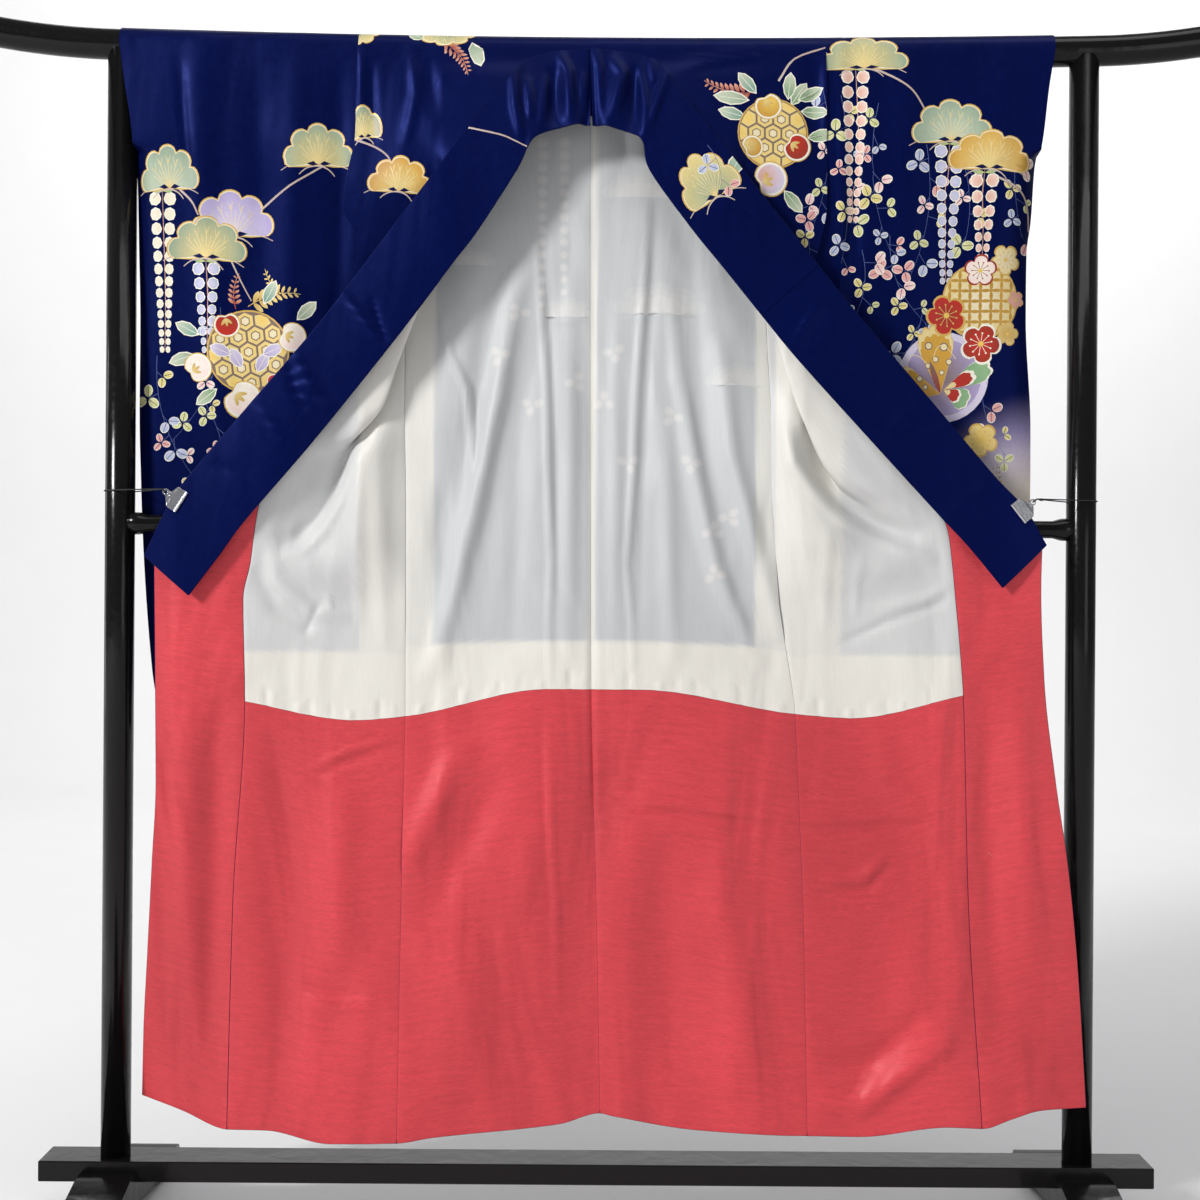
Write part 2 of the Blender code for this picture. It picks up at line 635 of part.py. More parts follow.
def build_collar(side, finish):
    place = COLLAR_CURVES[side].point
    spans = len(COLLARS[side]) - 1
    alongs = [i / 4 / spans for i in range(4 * GATHERED_SPANS)]
    alongs += [i / 2 / spans for i in range(2 * GATHERED_SPANS, 2 * spans + 1)]
    rows = [[place(along, across) for across in steps(0, 1, 4)] for along in alongs]
    cloth(f"collar_{SIDE_NAMES[side]}", rows, finish, side == RIGHT, 0, COLLAR_THICKNESS)
    covered = [row for row, along in zip(rows, alongs) if along * spans < OVER_COLLAR_END_ROW + 0.1]
    offset = COLLAR_THICKNESS + SEAM_GAP
    cloth(f"over_collar_{SIDE_NAMES[side]}", covered, finish, side == RIGHT, offset, OVER_COLLAR_THICKNESS)


def build_sleeve(side, finish):
    sleeve = SLEEVE_CURVES[side]
    rows = [[sleeve.place(u, level, True) for u in SLEEVE_COLUMNS] for level in SLEEVE_LEVELS]
    rows += [[sleeve.over_bar(u, turn / OVER_BAR_STEPS) for u in SLEEVE_COLUMNS]
             for turn in range(1, OVER_BAR_STEPS)]
    rows += [[sleeve.place(u, level, False) for u in SLEEVE_COLUMNS] for level in reversed(SLEEVE_LEVELS)]
    cloth(f"sleeve_{SIDE_NAMES[side]}", rows, finish, side == LEFT, weld=True)


def solid_from_curve(line, finish, cutter=False):
    """A closed mesh object made of a curve, in place of the curve."""
    holder = bpy.data.objects.new(line.name, line)
    mesh = bpy.data.meshes.new_from_object(holder)
    name = line.name
    bpy.data.objects.remove(holder, do_unlink=True)
    bpy.data.curves.remove(line)
    solid = bmesh.new()
    solid.from_mesh(mesh)
    bmesh.ops.remove_doubles(solid, verts=solid.verts, dist=0.00001)
    bmesh.ops.dissolve_degenerate(solid, edges=solid.edges, dist=0.000001)
    bmesh.ops.recalc_face_normals(solid, faces=solid.faces)
    solid.to_mesh(mesh)
    solid.free()
    mesh.materials.clear()
    return add_object(name, mesh, finish, cutter)


def add_spline(line, points, cyclic):
    spline = line.splines.new("POLY")
    spline.points.add(len(points) - 1)
    for made, point in zip(spline.points, points):
        made.co = (*point, 1.0)
    spline.use_cyclic_u = cyclic
    return spline


def tube(name, points, radius, sides, finish, cyclic=False, swell=None, cutter=False):
    """A round line through points. swell gives the radius factor at each point."""
    line = bpy.data.curves.new(name, "CURVE")
    line.dimensions = "3D"
    line.bevel_depth = radius
    line.bevel_resolution = (sides - 4) // 2
    line.use_fill_caps = not cyclic
    spline = add_spline(line, points, cyclic)
    if swell:
        for made, factor in zip(spline.points, swell):
            made.radius = factor
    return solid_from_curve(line, finish, cutter)


def flat_shape(name, outlines, half_thickness, finish, cutter=False):
    """A plate of flat outlines in metres, a later outline inside the first being a hole."""
    line = bpy.data.curves.new(name, "CURVE")
    line.dimensions = "2D"
    line.fill_mode = "BOTH"
    line.extrude = half_thickness
    for outline in outlines:
        add_spline(line, [(a, b, 0.0) for a, b in outline], True)
    return solid_from_curve(line, finish, cutter)


def cylinder(name, radius, bottom, top, x, finish, cutter=False):
    mesh = bpy.data.meshes.new(name)
    solid = bmesh.new()
    bmesh.ops.create_cone(solid, cap_ends=True, segments=POST_SIDES, radius1=radius, radius2=radius,
                          depth=top - bottom)
    solid.to_mesh(mesh)
    solid.free()
    made = add_object(name, mesh, finish, cutter)
    made.location = (x, 0, (bottom + top) / 2)
    return made


def turned_along_x(name, profile, sides, finish):
    """A round solid along X. profile holds (place, radius) from its +X end to its -X end."""
    mesh = bpy.data.meshes.new(name)
    outline = [(0, 0, profile[0][0]), *((radius, 0, place) for place, radius in profile), (0, 0, profile[-1][0])]
    mesh.from_pydata(outline, [(i, i + 1) for i in range(len(outline) - 1)], [])
    made = add_object(name, mesh, finish)
    turn = made.modifiers.new("Turn", "SCREW")
    turn.steps = sides
    turn.render_steps = sides
    turn.use_merge_vertices = True
    turn.merge_threshold = 0.00001
    made.rotation_euler = (0, pi / 2, 0)
    return made


def combine(made, others, operation):
    for other in others:
        step = made.modifiers.new("Cut", "BOOLEAN")
        step.operation = operation
        step.solver = "EXACT"
        step.object = other


def bevelled(made, width):
    edge = made.modifiers.new("Edge", "BEVEL")
    edge.width = width
    edge.segments = 1
    edge.limit_method = "ANGLE"
    edge.angle_limit = pi / 5


def in_metres(outline):
    return [(a * MM, b * MM) for a, b in outline]


def build_stand(finish):
    bar_line = [(x, 0, BAR_CENTRE_Z + bar_rise(x)) for x in steps(-BAR_HALF_LENGTH, BAR_HALF_LENGTH, 32)]
    tube("top_bar", bar_line, BAR_RADIUS, 16, finish)
    bar_cutter = tube("bar_cutter", bar_line, BAR_RADIUS + FIT_GAP, 16, None, cutter=True)
    post_cutters = []
    for side in (LEFT, RIGHT):
        name, x = SIDE_NAMES[side], side * POST_X
        post = cylinder(f"post_{name}", POST_RADIUS, RAIL_TOP_Z + FIT_GAP, POST_TOP_Z, x, finish)
        combine(post, [bar_cutter], "DIFFERENCE")
        post_cutters.append(
            cylinder(f"post_cutter_{name}", POST_RADIUS + FIT_GAP, MIDDLE_BAR_Z - 0.1, MIDDLE_BAR_Z + 0.1, x,
                     None, cutter=True)
        )
        foot = flat_shape(f"foot_{name}", [in_metres(FOOT_OUTLINE)], FOOT_WIDTH / 2, finish)
        foot.matrix_world = Matrix(((0, 0, 1, x), (1, 0, 0, 0), (0, 1, 0, 0), (0, 0, 0, 1)))
        bevelled(foot, FOOT_EDGE)

    half_bar = in_metres(MIDDLE_BAR_END)
    profile = half_bar + [(-place, radius) for place, radius in reversed(half_bar)]
    bar = turned_along_x("middle_bar", profile, 20, finish)
    bar.location = (0, 0, MIDDLE_BAR_Z)
    combine(bar, post_cutters, "DIFFERENCE")

    mesh = bpy.data.meshes.new("base_rail")
    solid = bmesh.new()
    size = Matrix.Diagonal((RAIL_LENGTH, RAIL_DEPTH, RAIL_HEIGHT, 1))
    bmesh.ops.create_cube(solid, size=1.0, matrix=size)
    solid.to_mesh(mesh)
    solid.free()
    rail = add_object("base_rail", mesh, finish)
    rail.location = (0, 0, RAIL_TOP_Z - RAIL_HEIGHT / 2)
    bevelled(rail, RAIL_EDGE)


def build_clip(side, chrome, elastic):
    """A spring clip on the collar's outer edge, and the elastic loop that pulls it to the post."""
    name, clip = SIDE_NAMES[side], CLIPS[side]
    edge = Vector((clip.x * MM, clip.y * MM, clip.z * MM))
    inward = Vector((clip.inward[0], 0, clip.inward[1])).normalized()
    depth = Vector((0, 1, 0))
    along = inward.cross(depth)

    def set_down(made, first, second, third):
        made.matrix_world = Matrix.Translation(edge) @ Matrix((first, second, third)).transposed().to_4x4()

    plan = flat_shape(f"clip_plan_{name}", [in_metres(JAW_PLAN)], JAW_DEPTH, None, cutter=True)
    set_down(plan, inward, -along, depth)
    for node, towards in (("clip_jaw_front", -1), ("clip_jaw_back", 1)):
        outline = [(n * MM, towards * off * MM) for n, off in JAW_OUTLINE]
        jaw = flat_shape(f"{node}_{name}", [outline], JAW_HALF_WIDTH, chrome)
        set_down(jaw, inward, depth, along)
        combine(jaw, [plan], "INTERSECT")
    hole = [(RING_HOLE_AT + RING_HOLE_RADIUS * cos(turn), RING_HOLE_RADIUS * sin(turn))
            for turn in steps(0, 2 * pi, 16)[:-1]]
    ring = flat_shape(f"clip_ring_{name}", [in_metres(RING_OUTLINE), in_metres(hole)], RING_HALF_THICKNESS, chrome)
    set_down(ring, inward, -along, depth)

    loop = [edge + inward * n * MM + depth * off * MM for n, off in TIE_AT_RING]
    start, end = loop[0], loop[-1]
    centre = Vector((side * POST_X, 0, start.z))
    reach = POST_RADIUS + TIE_RADIUS + FIT_GAP
    away = (start + end) / 2 - centre
    touch = acos(reach / Vector((away.x, away.y)).length)
    towards_ring = atan2(away.y, away.x)
    turns = steps(towards_ring + side * touch, towards_ring + side * (2 * pi - touch), 10)
    wrap = [centre + Vector((reach * cos(turn), reach * sin(turn), 0)) for turn in turns]
    if (wrap[0] - end).length > (wrap[-1] - end).length:
        wrap.reverse()
    knot = [mix(end, wrap[0], share) for share in KNOT_PLACES] if side == RIGHT else []
    swell = [1.0] * len(loop) + [KNOT_SWELL if 0 < i < 3 else 1.0 for i in range(len(knot))] + [1.0] * len(wrap)
    tube(f"tie_{name}", [*loop, *knot, *wrap], TIE_RADIUS, 8, elastic, cyclic=True, swell=swell)


def remove_everything():
    for made in list(bpy.data.objects):
        bpy.data.objects.remove(made, do_unlink=True)


def main():
    remove_everything()
    for name, cutter in ((PART_NAME, False), ("cutters", True)):
        COLLECTIONS[cutter] = bpy.data.collections.new(name)
        bpy.context.scene.collection.children.link(COLLECTIONS[cutter])
    blue = material("blue_silk", (0.010, 0.020, 0.180), 0.45)
    white = material("white_lining", (0.78, 0.77, 0.72), 0.55)
    red = material("red_lining", (0.60, 0.075, 0.085), 0.55)
    lacquer = material("black_lacquer", (0.008, 0.008, 0.009), 0.12)
    chrome = material("chrome", (0.75, 0.76, 0.78), 0.12, 1.0)
    elastic = material("black_elastic", (0.012, 0.012, 0.012), 0.8)
    for side in (LEFT, RIGHT):
        build_body(side, blue)
        build_overlap(side, blue, red)
        build_linings(side, white, red)
        build_collar(side, blue)
        build_sleeve(side, blue)
        build_clip(side, chrome, elastic)
    build_stand(lacquer)


main()
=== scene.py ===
"""A furisode kimono hung wide open on a black lacquered stand: its cloth, dyed pattern and finishes.

Run as a script inside Blender. Metres, +Z up, the opened front facing -Y. Tables hold millimetres unless
their names say otherwise, and left and right are as seen from the front.
"""
from bisect import bisect_right
from math import acos, atan2, ceil, cos, exp, hypot, pi, radians, sin
from typing import NamedTuple

import bmesh
import bpy
import numpy as np
from bpy.props import BoolProperty, FloatProperty, FloatVectorProperty, PointerProperty
from mathutils import Matrix, Vector
from mathutils.geometry import delaunay_2d_cdt


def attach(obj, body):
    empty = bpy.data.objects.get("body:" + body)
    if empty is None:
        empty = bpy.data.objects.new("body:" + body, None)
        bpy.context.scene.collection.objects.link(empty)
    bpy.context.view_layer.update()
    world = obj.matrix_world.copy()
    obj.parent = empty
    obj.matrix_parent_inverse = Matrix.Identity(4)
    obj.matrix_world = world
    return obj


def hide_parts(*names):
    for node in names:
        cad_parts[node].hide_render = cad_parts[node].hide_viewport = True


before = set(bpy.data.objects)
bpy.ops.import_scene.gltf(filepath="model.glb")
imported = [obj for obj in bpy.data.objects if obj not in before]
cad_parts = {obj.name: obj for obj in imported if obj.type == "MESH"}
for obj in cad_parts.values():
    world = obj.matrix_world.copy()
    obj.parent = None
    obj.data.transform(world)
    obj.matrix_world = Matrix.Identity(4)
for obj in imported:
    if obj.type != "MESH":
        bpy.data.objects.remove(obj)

bl_info = {
    "name": "Kimono on a Stand",
    "version": (1, 0, 0),
    "blender": (4, 5, 0),
    "location": "View3D > Sidebar > Kimono",
    "description": "Builds a hung furisode, its lining, clips and lacquered stand",
    "category": "Add Mesh",
}

MM = 0.001
LEFT, RIGHT = -1, 1

# Stand
BAR_RADIUS = 0.022
BAR_CENTRE_Z = 1.707
BAR_SAG = 0.009
BAR_SAG_SPAN = 0.70
BAR_HALF_LENGTH = 0.94
BAR_UPTURN_START = 0.72
BAR_UPTURN = 0.020
POST_X = 0.7065
POST_RADIUS = 0.0215
MIDDLE_BAR_Z = 1.0125
RAIL_LENGTH = 1.62
RAIL_DEPTH = 0.066
RAIL_HEIGHT = 0.030
RAIL_TOP_Z = 0.085
FOOT_WIDTH = 0.080
FOOT_EDGE = 0.0025
RAIL_EDGE = 0.002
FIT_GAP = 0.0003

# Middle bar's swollen end, from inside the post inwards: distance from the middle, radius
MIDDLE_BAR_END = [(700, 16.5), (678, 16.5), (674, 15.6), (664, 12.8), (350, 12.8)]

# Side of a foot, its underside first: y, z
FOOT_OUTLINE = [(-210, 0), (-138, 0), (-132, 6), (-104, 14), (-52, 18), (52, 18), (104, 14), (132, 6),
                (138, 0),
                (210, 0), (213, 6), (213, 24), (208, 31), (199, 34), (190, 32), (183, 31), (150, 38),
                (105, 55),
                (66, 67), (45, 70), (33.3, 70), (33.3, 54.7), (-33.3, 54.7), (-33.3, 70), (-45, 70),
                (-66, 67),
                (-105, 55), (-150, 38), (-190, 30), (-207, 27), (-213, 20), (-213, 6)]

# Cloth
COLLAR_THICKNESS = 0.0016
SEAM_GAP = 0.0003
OVER_BAR_RADIUS = BAR_RADIUS + 0.0007
SHOULDER_Z = 1.705
HEM_Z = 0.130
LINING_TOP_Z = 1.620
FRONT_LINING_TOP_Z = 1.375
ARMHOLE_END_Z = 1.530
CUFF_END_Z = 1.549
SLEEVE_BOTTOM_Z = 0.681
SLEEVE_CORNER = 0.050
OVERLAP_TOP_Z = 1.440
OVERLAP_LINING_TOP_Z = 1.100


class Curve:
    """A smooth curve through rows of (key, value) that never swings past them."""

    def __init__(self, keys, values):
        pairs = sorted(zip(keys, values))
        self.keys = [key for key, _ in pairs]
        self.values = [value for _, value in pairs]
        steps = [b - a for a, b in zip(self.keys, self.keys[1:])]
        rises = [(b - a) / step for a, b, step in zip(self.values, self.values[1:], steps)]
        self.slopes = [rises[0]]
        for before, after in zip(rises, rises[1:]):
            same_way = before * after > 0
            self.slopes.append(2 * before * after / (before + after) if same_way else 0.0)
        self.slopes.append(rises[-1])

    def __call__(self, key):
        key = min(max(key, self.keys[0]), self.keys[-1])
        i = min(bisect_right(self.keys, key) - 1, len(self.keys) - 2)
        step = self.keys[i + 1] - self.keys[i]
        t = (key - self.keys[i]) / step
        start, end = self.values[i], self.values[i + 1]
        leave, arrive = self.slopes[i] * step, self.slopes[i + 1] * step
        return (start * (2 * t**3 - 3 * t**2 + 1) + leave * (t**3 - 2 * t**2 + t)
                + end * (3 * t**2 - 2 * t**3) + arrive * (t**3 - t**2))


class Line:
    """Straight lines through rows of (key, value) in millimetres, in metres."""

    def __init__(self, rows):
        self.rows = sorted((key * MM, value * MM) for key, value in rows)

    def __call__(self, key):
        i = min(max(bisect_right(self.rows, (key, 9.0)) - 1, 0), len(self.rows) - 2)
        (start, first), (end, last) = self.rows[i], self.rows[i + 1]
        return mix(first, last, (key - start) / (end - start))


def curve_of(rows):
    """A Curve in metres through (key, value) rows in millimetres."""
    return Curve([key * MM for key, _ in rows], [value * MM for _, value in rows])


def mix(a, b, t):
    return a + (b - a) * t


def through(points, t):
    """A point at t, 0 to 1, on a smooth line through 2-D points."""
    spans = len(points) - 1
    i = min(int(t * spans), spans - 1)
    s = t * spans - i
    p1, p2 = points[i], points[i + 1]
    p0 = points[i - 1] if i else tuple(2 * a - b for a, b in zip(p1, p2))
    p3 = points[i + 2] if i + 2 <= spans else tuple(2 * b - a for a, b in zip(p1, p2))
    return tuple(
        0.5 * (2 * b + (c - a) * s + (2 * a - 5 * b + 4 * c - d) * s**2 + (3 * b - a - 3 * c + d) * s**3)
        for a, b, c, d in zip(p0, p1, p2, p3)
    )


def steps(start, end, count):
    return [mix(start, end, i / count) for i in range(count + 1)]


def bar_rise(x):
    """How far the top bar's middle line lies above its lowest point."""
    beyond = max(0.0, abs(x) - BAR_UPTURN_START) / (BAR_HALF_LENGTH - BAR_UPTURN_START)
    return BAR_SAG * (x / BAR_SAG_SPAN) ** 2 + BAR_UPTURN * beyond**2


class FrontRow(NamedTuple):
    """One level section of a front: from the side seam, over the folds, to the overlap seam or collar."""
    z: float
    seam: tuple
    ridge: tuple
    hollow: tuple
    lip: tuple
    middle: tuple
    edge: tuple


def plain_row(z, seam, edge):
    """A front section with no folds."""
    inner = [tuple(mix(a, b, step / 5) for a, b in zip(seam, edge)) for step in range(1, 5)]
    return FrontRow(z, seam, *inner, edge)


FRONTS = {
    LEFT: [
        plain_row(1705, (-358, -22.9), (-21, -22.9)),
        plain_row(1690, (-358, -24.5), (-110, -25)),
        plain_row(1662, (-359, -26), (-131, -35)),
        plain_row(1577, (-361, -26), (-197, -46)),
        FrontRow(1512, (-374, -26), (-335, -32), (-295, -38), (-240, -38), (-232, -47), (-243, -52.4)),
        FrontRow(1477, (-379, -24), (-335, -30), (-290, -32), (-236, -34), (-242, -46), (-266, -53.4)),
        FrontRow(1435, (-360, -21), (-325, -25), (-285, -27), (-238, -31), (-262, -46), (-289, -52)),
        FrontRow(1375, (-357, -13), (-325, -15), (-290, -18), (-246, -28), (-283, -46), (-318, -52)),
        FrontRow(1325, (-288, -3), (-318, -5), (-338, -13), (-268, -32), (-310, -47), (-349, -52)),
        FrontRow(1255, (-291, -7), (-320, -9), (-345, -16), (-294, -36), (-340, -47), (-391, -52)),
        FrontRow(1190, (-288, -12), (-318, -20), (-352, -17), (-316, -40), (-368, -48), (-424, -51)),
        FrontRow(1150, (-287, -14), (-325, -34), (-358, -13), (-350, -38), (-392, -47), (-443, -49)),
        FrontRow(1110, (-286, -16), (-342, -45), (-375, -13), (-405, -29), (-433, -43), (-463, -47)),
        FrontRow(1050, (-285, -18), (-350, -46), (-402, -18), (-438, -27), (-466, -40), (-490, -43)),
        FrontRow(1000, (-284, -18), (-352, -44), (-425, -22), (-455, -26), (-480, -36), (-500, -39)),
        FrontRow(955, (-284, -18), (-345, -34), (-420, -38), (-458, -36), (-485, -34), (-506, -36)),
        plain_row(900, (-284, -18), (-517, -34)),
        plain_row(755, (-283, -19), (-514, -32)),
        plain_row(465, (-287, -22), (-530, -28)),
        plain_row(130, (-291, -24), (-538, -22)),
    ],
    RIGHT: [
        plain_row(1705, (323, -22.9), (-19, -22.9)),
        plain_row(1690, (323, -24.5), (72, -25)),
        plain_row(1662, (324, -26), (93, -35)),
        plain_row(1577, (325, -26), (159, -46)),
        FrontRow(1512, (326, -25), (300, -30), (262, -36), (206, -38), (198, -47), (209, -52.4)),
        FrontRow(1477, (326, -23), (296, -28), (256, -31), (202, -34), (211, -46), (234, -53.4)),
        FrontRow(1435, (319, -20), (288, -24), (250, -27), (204, -31), (234, -46), (268, -52)),
        FrontRow(1375, (300, -12), (276, -14), (250, -17), (214, -28), (255, -46), (306, -52)),
        FrontRow(1325, (239, -3), (268, -5), (292, -13), (238, -32), (286, -47), (340, -52)),
        FrontRow(1255, (245, -7), (272, -9), (302, -14), (262, -36), (316, -47), (382, -52)),
        FrontRow(1190, (248, -12), (278, -24), (318, -10), (284, -38), (348, -48), (414, -51)),
        FrontRow(1150, (249, -14), (276, -34), (326, -8), (302, -38), (368, -48), (434, -50)),
        FrontRow(1110, (250, -16), (278, -40), (330, -9), (322, -38), (392, -47), (454, -48)),
        FrontRow(1075, (250, -17), (290, -43), (342, -13), (350, -34), (412, -45), (468, -45)),
        FrontRow(1040, (251, -18), (305, -45), (372, -19), (404, -28), (444, -40), (484, -42)),
        FrontRow(1000, (252, -18), (322, -44), (400, -24), (440, -27), (474, -36), (502, -39)),
        FrontRow(955, (255, -18), (330, -34), (400, -38), (440, -36), (478, -34), (509, -36)),
        plain_row(900, (261, -18), (515, -34)),
        plain_row(841, (269, -18), (521, -33)),
        plain_row(752, (285, -19), (528, -32)),
        plain_row(465, (299, -22), (537, -31)),
        plain_row(130, (307, -24), (559, -33)),
    ],
}

# Overlap panel's front edge below the collar: z, x, y
OVERLAP_EDGES = {
    LEFT: [(1015, -620, -44), (990, -633, -43), (965, -644, -43), (910, -645, -38), (755, -644, -33),
           (610, -643, -30), (494, -649, -25),
           (349, -658, -14), (240, -666, -1), (130, -671, 11)],
    RIGHT: [(965, 637, -46), (910, 637, -42), (765, 643, -40), (620, 660, -39), (476, 681, -39),
            (332, 695, -39),
            (130, 708, -39)],
}


class CollarRow(NamedTuple):
    """One line across the collar, from the edge that is sewn to the body to the free edge."""
    sewn: tuple
    sewn_y: float
    free: tuple
    free_y: float


COLLARS = {
    LEFT: [
        CollarRow((-20, 1706), -24.6, (-18, 1592), -40),
        CollarRow((-72, 1700), -24.8, (-45, 1590), -44),
        CollarRow((-112, 1688), -27, (-98, 1571), -50),
        CollarRow((-133, 1662), -37, (-124, 1522), -54),
        CollarRow((-199, 1577), -48, (-179, 1435), -56),
        CollarRow((-252, 1504), -54.5, (-215, 1387), -58),
        CollarRow((-345, 1379), -56, (-267, 1316), -60),
        CollarRow((-409, 1294), -57, (-330, 1234), -61),
        CollarRow((-505, 1181), -56, (-420, 1122), -60),
        CollarRow((-597, 1072), -53, (-511, 1016), -57),
        CollarRow((-626, 1027), -51, (-545, 970), -55),
        CollarRow((-657, 964), -47, (-592, 908), -52),
    ],
    RIGHT: [
        CollarRow((-19, 1706), -24.6, (-17, 1592), -40),
        CollarRow((30, 1700), -24.8, (10, 1588), -44),
        CollarRow((74, 1688), -27, (54, 1570), -50),
        CollarRow((96, 1661), -37, (67, 1524), -54),
        CollarRow((161, 1577), -48, (127, 1441), -56),
        CollarRow((218, 1502), -54.5, (176, 1381), -58),
        CollarRow((312, 1384), -56, (231, 1313), -60),
        CollarRow((377, 1304), -57, (285, 1248), -61),
        CollarRow((468, 1199), -56, (387, 1137), -60),
        CollarRow((562, 1090), -53, (484, 1033), -57),
        CollarRow((610, 1040), -51, (530, 985), -55),
        CollarRow((642, 988), -48, (579, 927), -53),
    ],
}
GATHERED_SPANS = 3
COLLAR_GATHERS = 2.5
COLLAR_GATHER_DEPTH = 0.005
OVER_COLLAR_END_ROW = 6

# Side edge of the back at its own levels, joined by straight lines: z, x. Below BACK_JOINED the front
# starts at it.
BACK_SIDES = {
    LEFT: [(1705, -358), (1620, -358.5), (1530, -359), (1450, -346), (1325, -289), (1190, -288),
           (1050, -285),
           (900, -284), (755, -283), (610, -285), (465, -287), (300, -289), (130, -291)],
    RIGHT: [(1705, 323), (1620, 323.5), (1530, 324), (1450, 308), (1325, 240), (1190, 248), (1050, 250.5),
            (900, 261), (755, 285), (610, 292), (465, 299), (300, 303), (130, 307)],
}
BACK_JOINED = 1.325
CENTRE_SEAM = [(1705, -20), (1200, -17), (755, -12), (465, -3), (130, 5)]
BACK_DEPTHS = [(1705, 22.7), (1650, 21), (1325, -2.5), (1255, -6.5), (1190, -11.5), (1110, -15.5),
               (1050, -17.5),
               (900, -17.8), (755, -19), (465, -22), (130, -24)]

# Hem height and the join between the white and the red lining, by place across: x, z
HEM_LINE = [(-680, 172), (-608, 152), (-539, 130), (-481, 129), (-387, 110), (-289, 112), (-241, 120),
            (-53, 142),
            (5, 158), (23, 154), (151, 134), (296, 127), (379, 127), (514, 143), (560, 142), (601, 156),
            (644, 170),
            (711, 176)]
LINING_JOINT = [(-520, 755), (-356, 727), (-283, 733), (-72, 774), (59, 774), (288, 740), (366, 735),
                (530, 770)]


class SleeveRow(NamedTuple):
    """One level of a sleeve: its outer edge, and the depth of its front and back layers."""
    z: float
    outer_x: float
    front_y: float
    back_y: float


SLEEVES = {
    LEFT: [SleeveRow(1705, -706, -22.9, 22.9), SleeveRow(1643, -697, -26, 24.5),
           SleeveRow(1577, -687, -26, 25),
           SleeveRow(1549, -685, -24.5, 25), SleeveRow(1530, -685, -22.5, 25),
           SleeveRow(1489, -684, -17, 25), SleeveRow(1400, -683, -8, 25),
           SleeveRow(1300, -682, 1, 26),
           SleeveRow(1133, -684, 13, 28), SleeveRow(1040, -682, 17, 29), SleeveRow(958, -679, 17.5, 29),
           SleeveRow(754, -664, 18, 28), SleeveRow(681, -652, 19, 27)],
    RIGHT: [SleeveRow(1705, 658, -22.9, 22.9), SleeveRow(1643, 648, -26, 24.5),
            SleeveRow(1577, 641, -26, 25),
            SleeveRow(1549, 637, -24.5, 25), SleeveRow(1530, 634, -22.5, 25), SleeveRow(1448, 630, -14, 25),
            SleeveRow(1400, 625, -8, 25), SleeveRow(1300, 626, 1, 26),
            SleeveRow(1133, 636, 13, 28), SleeveRow(1040, 637, 17, 29), SleeveRow(958, 636, 17.5, 29),
            SleeveRow(754, 630, 18, 28), SleeveRow(681, 622, 19, 27)],
}
SLEEVE_INNER = {LEFT: -0.3625, RIGHT: 0.3285}
SLEEVE_ROLL = 0.10



class Clip(NamedTuple):
    """Where a clip grips the collar's edge, and the way from that edge into the cloth."""
    x: float
    y: float
    z: float
    inward: tuple


CLIPS = {
    LEFT: Clip(-612.9, -51.0, 1047.4, (0.841, -0.542)),
    RIGHT: Clip(609.8, -50.3, 1040.0, (-0.787, -0.617)),
}
# Half of a clip, from its neck to the rolled lip and back: distance in from the edge, depth off the middle
JAW_OUTLINE = [(-13, 0.8), (-8, 0.8), (-3, 4.7), (13.0, 4.7), (13.8, 5.4), (13.8, 6.5), (13.0, 7.5),
               (11.6, 7.8),
               (10.2, 7.2), (9.5, 5.9), (-3.4, 5.9), (-8.6, 1.9), (-13, 1.9)]
RING_HOLE_AT = -15.5
RING_HOLE_RADIUS = 2.4
RING_HALF_THICKNESS = 0.0005
RING_OUTLINE = [(-7.5, -3.6), (-7.5, 3.6), (-12.0, 4.2), (-15.5, 5.0), (-18.2, 4.2), (-20.2, 2.2),
                (-20.6, 0),
                (-20.2, -2.2), (-18.2, -4.2), (-15.5, -5.0), (-12.0, -4.2)]
TIE_RADIUS = 0.0009
KNOT_PLACES = (0.10, 0.13, 0.19, 0.22)
KNOT_SWELL = 2.2
# The elastic's way through the ring: distance in from the collar's edge, depth off the clip's middle
TIE_AT_RING = [(-23, -3.0), (-19, -2.6), (-16.6, -1.9), (-15.6, 0), (-16.6, 1.9), (-19, 2.6), (-23, 3.0)]


class BackFold(NamedTuple):
    """A soft upright fold in the back."""
    x: float
    top: float
    bottom: float
    height: float
    half_width: float


BACK_FOLDS = [
    BackFold(-197, 1500, 900, 4.5, 36),
    BackFold(-78, 1300, 800, 3.5, 34),
    BackFold(50, 1570, 950, 5.0, 40),
    BackFold(185, 1400, 850, 3.5, 38),
]

BACK_SIDE_LINES = {side: Line(BACK_SIDES[side]) for side in (LEFT, RIGHT)}
hem_line = curve_of(HEM_LINE)
lining_joint = curve_of(LINING_JOINT)
centre_seam = curve_of(CENTRE_SEAM)
back_depth = curve_of(BACK_DEPTHS)


def level_z(x, level):
    """Height at a place across, for a level that runs from the bar's own curve down to the hem's."""
    drop = (SHOULDER_Z - level) / (SHOULDER_Z - HEM_Z)
    return mix(SHOULDER_Z + bar_rise(x), hem_line(x), drop)


def level_of(x, z):
    """The level whose height at x is z."""
    top, hem = SHOULDER_Z + bar_rise(x), hem_line(x)
    return mix(SHOULDER_Z, HEM_Z, (top - z) / (top - hem))


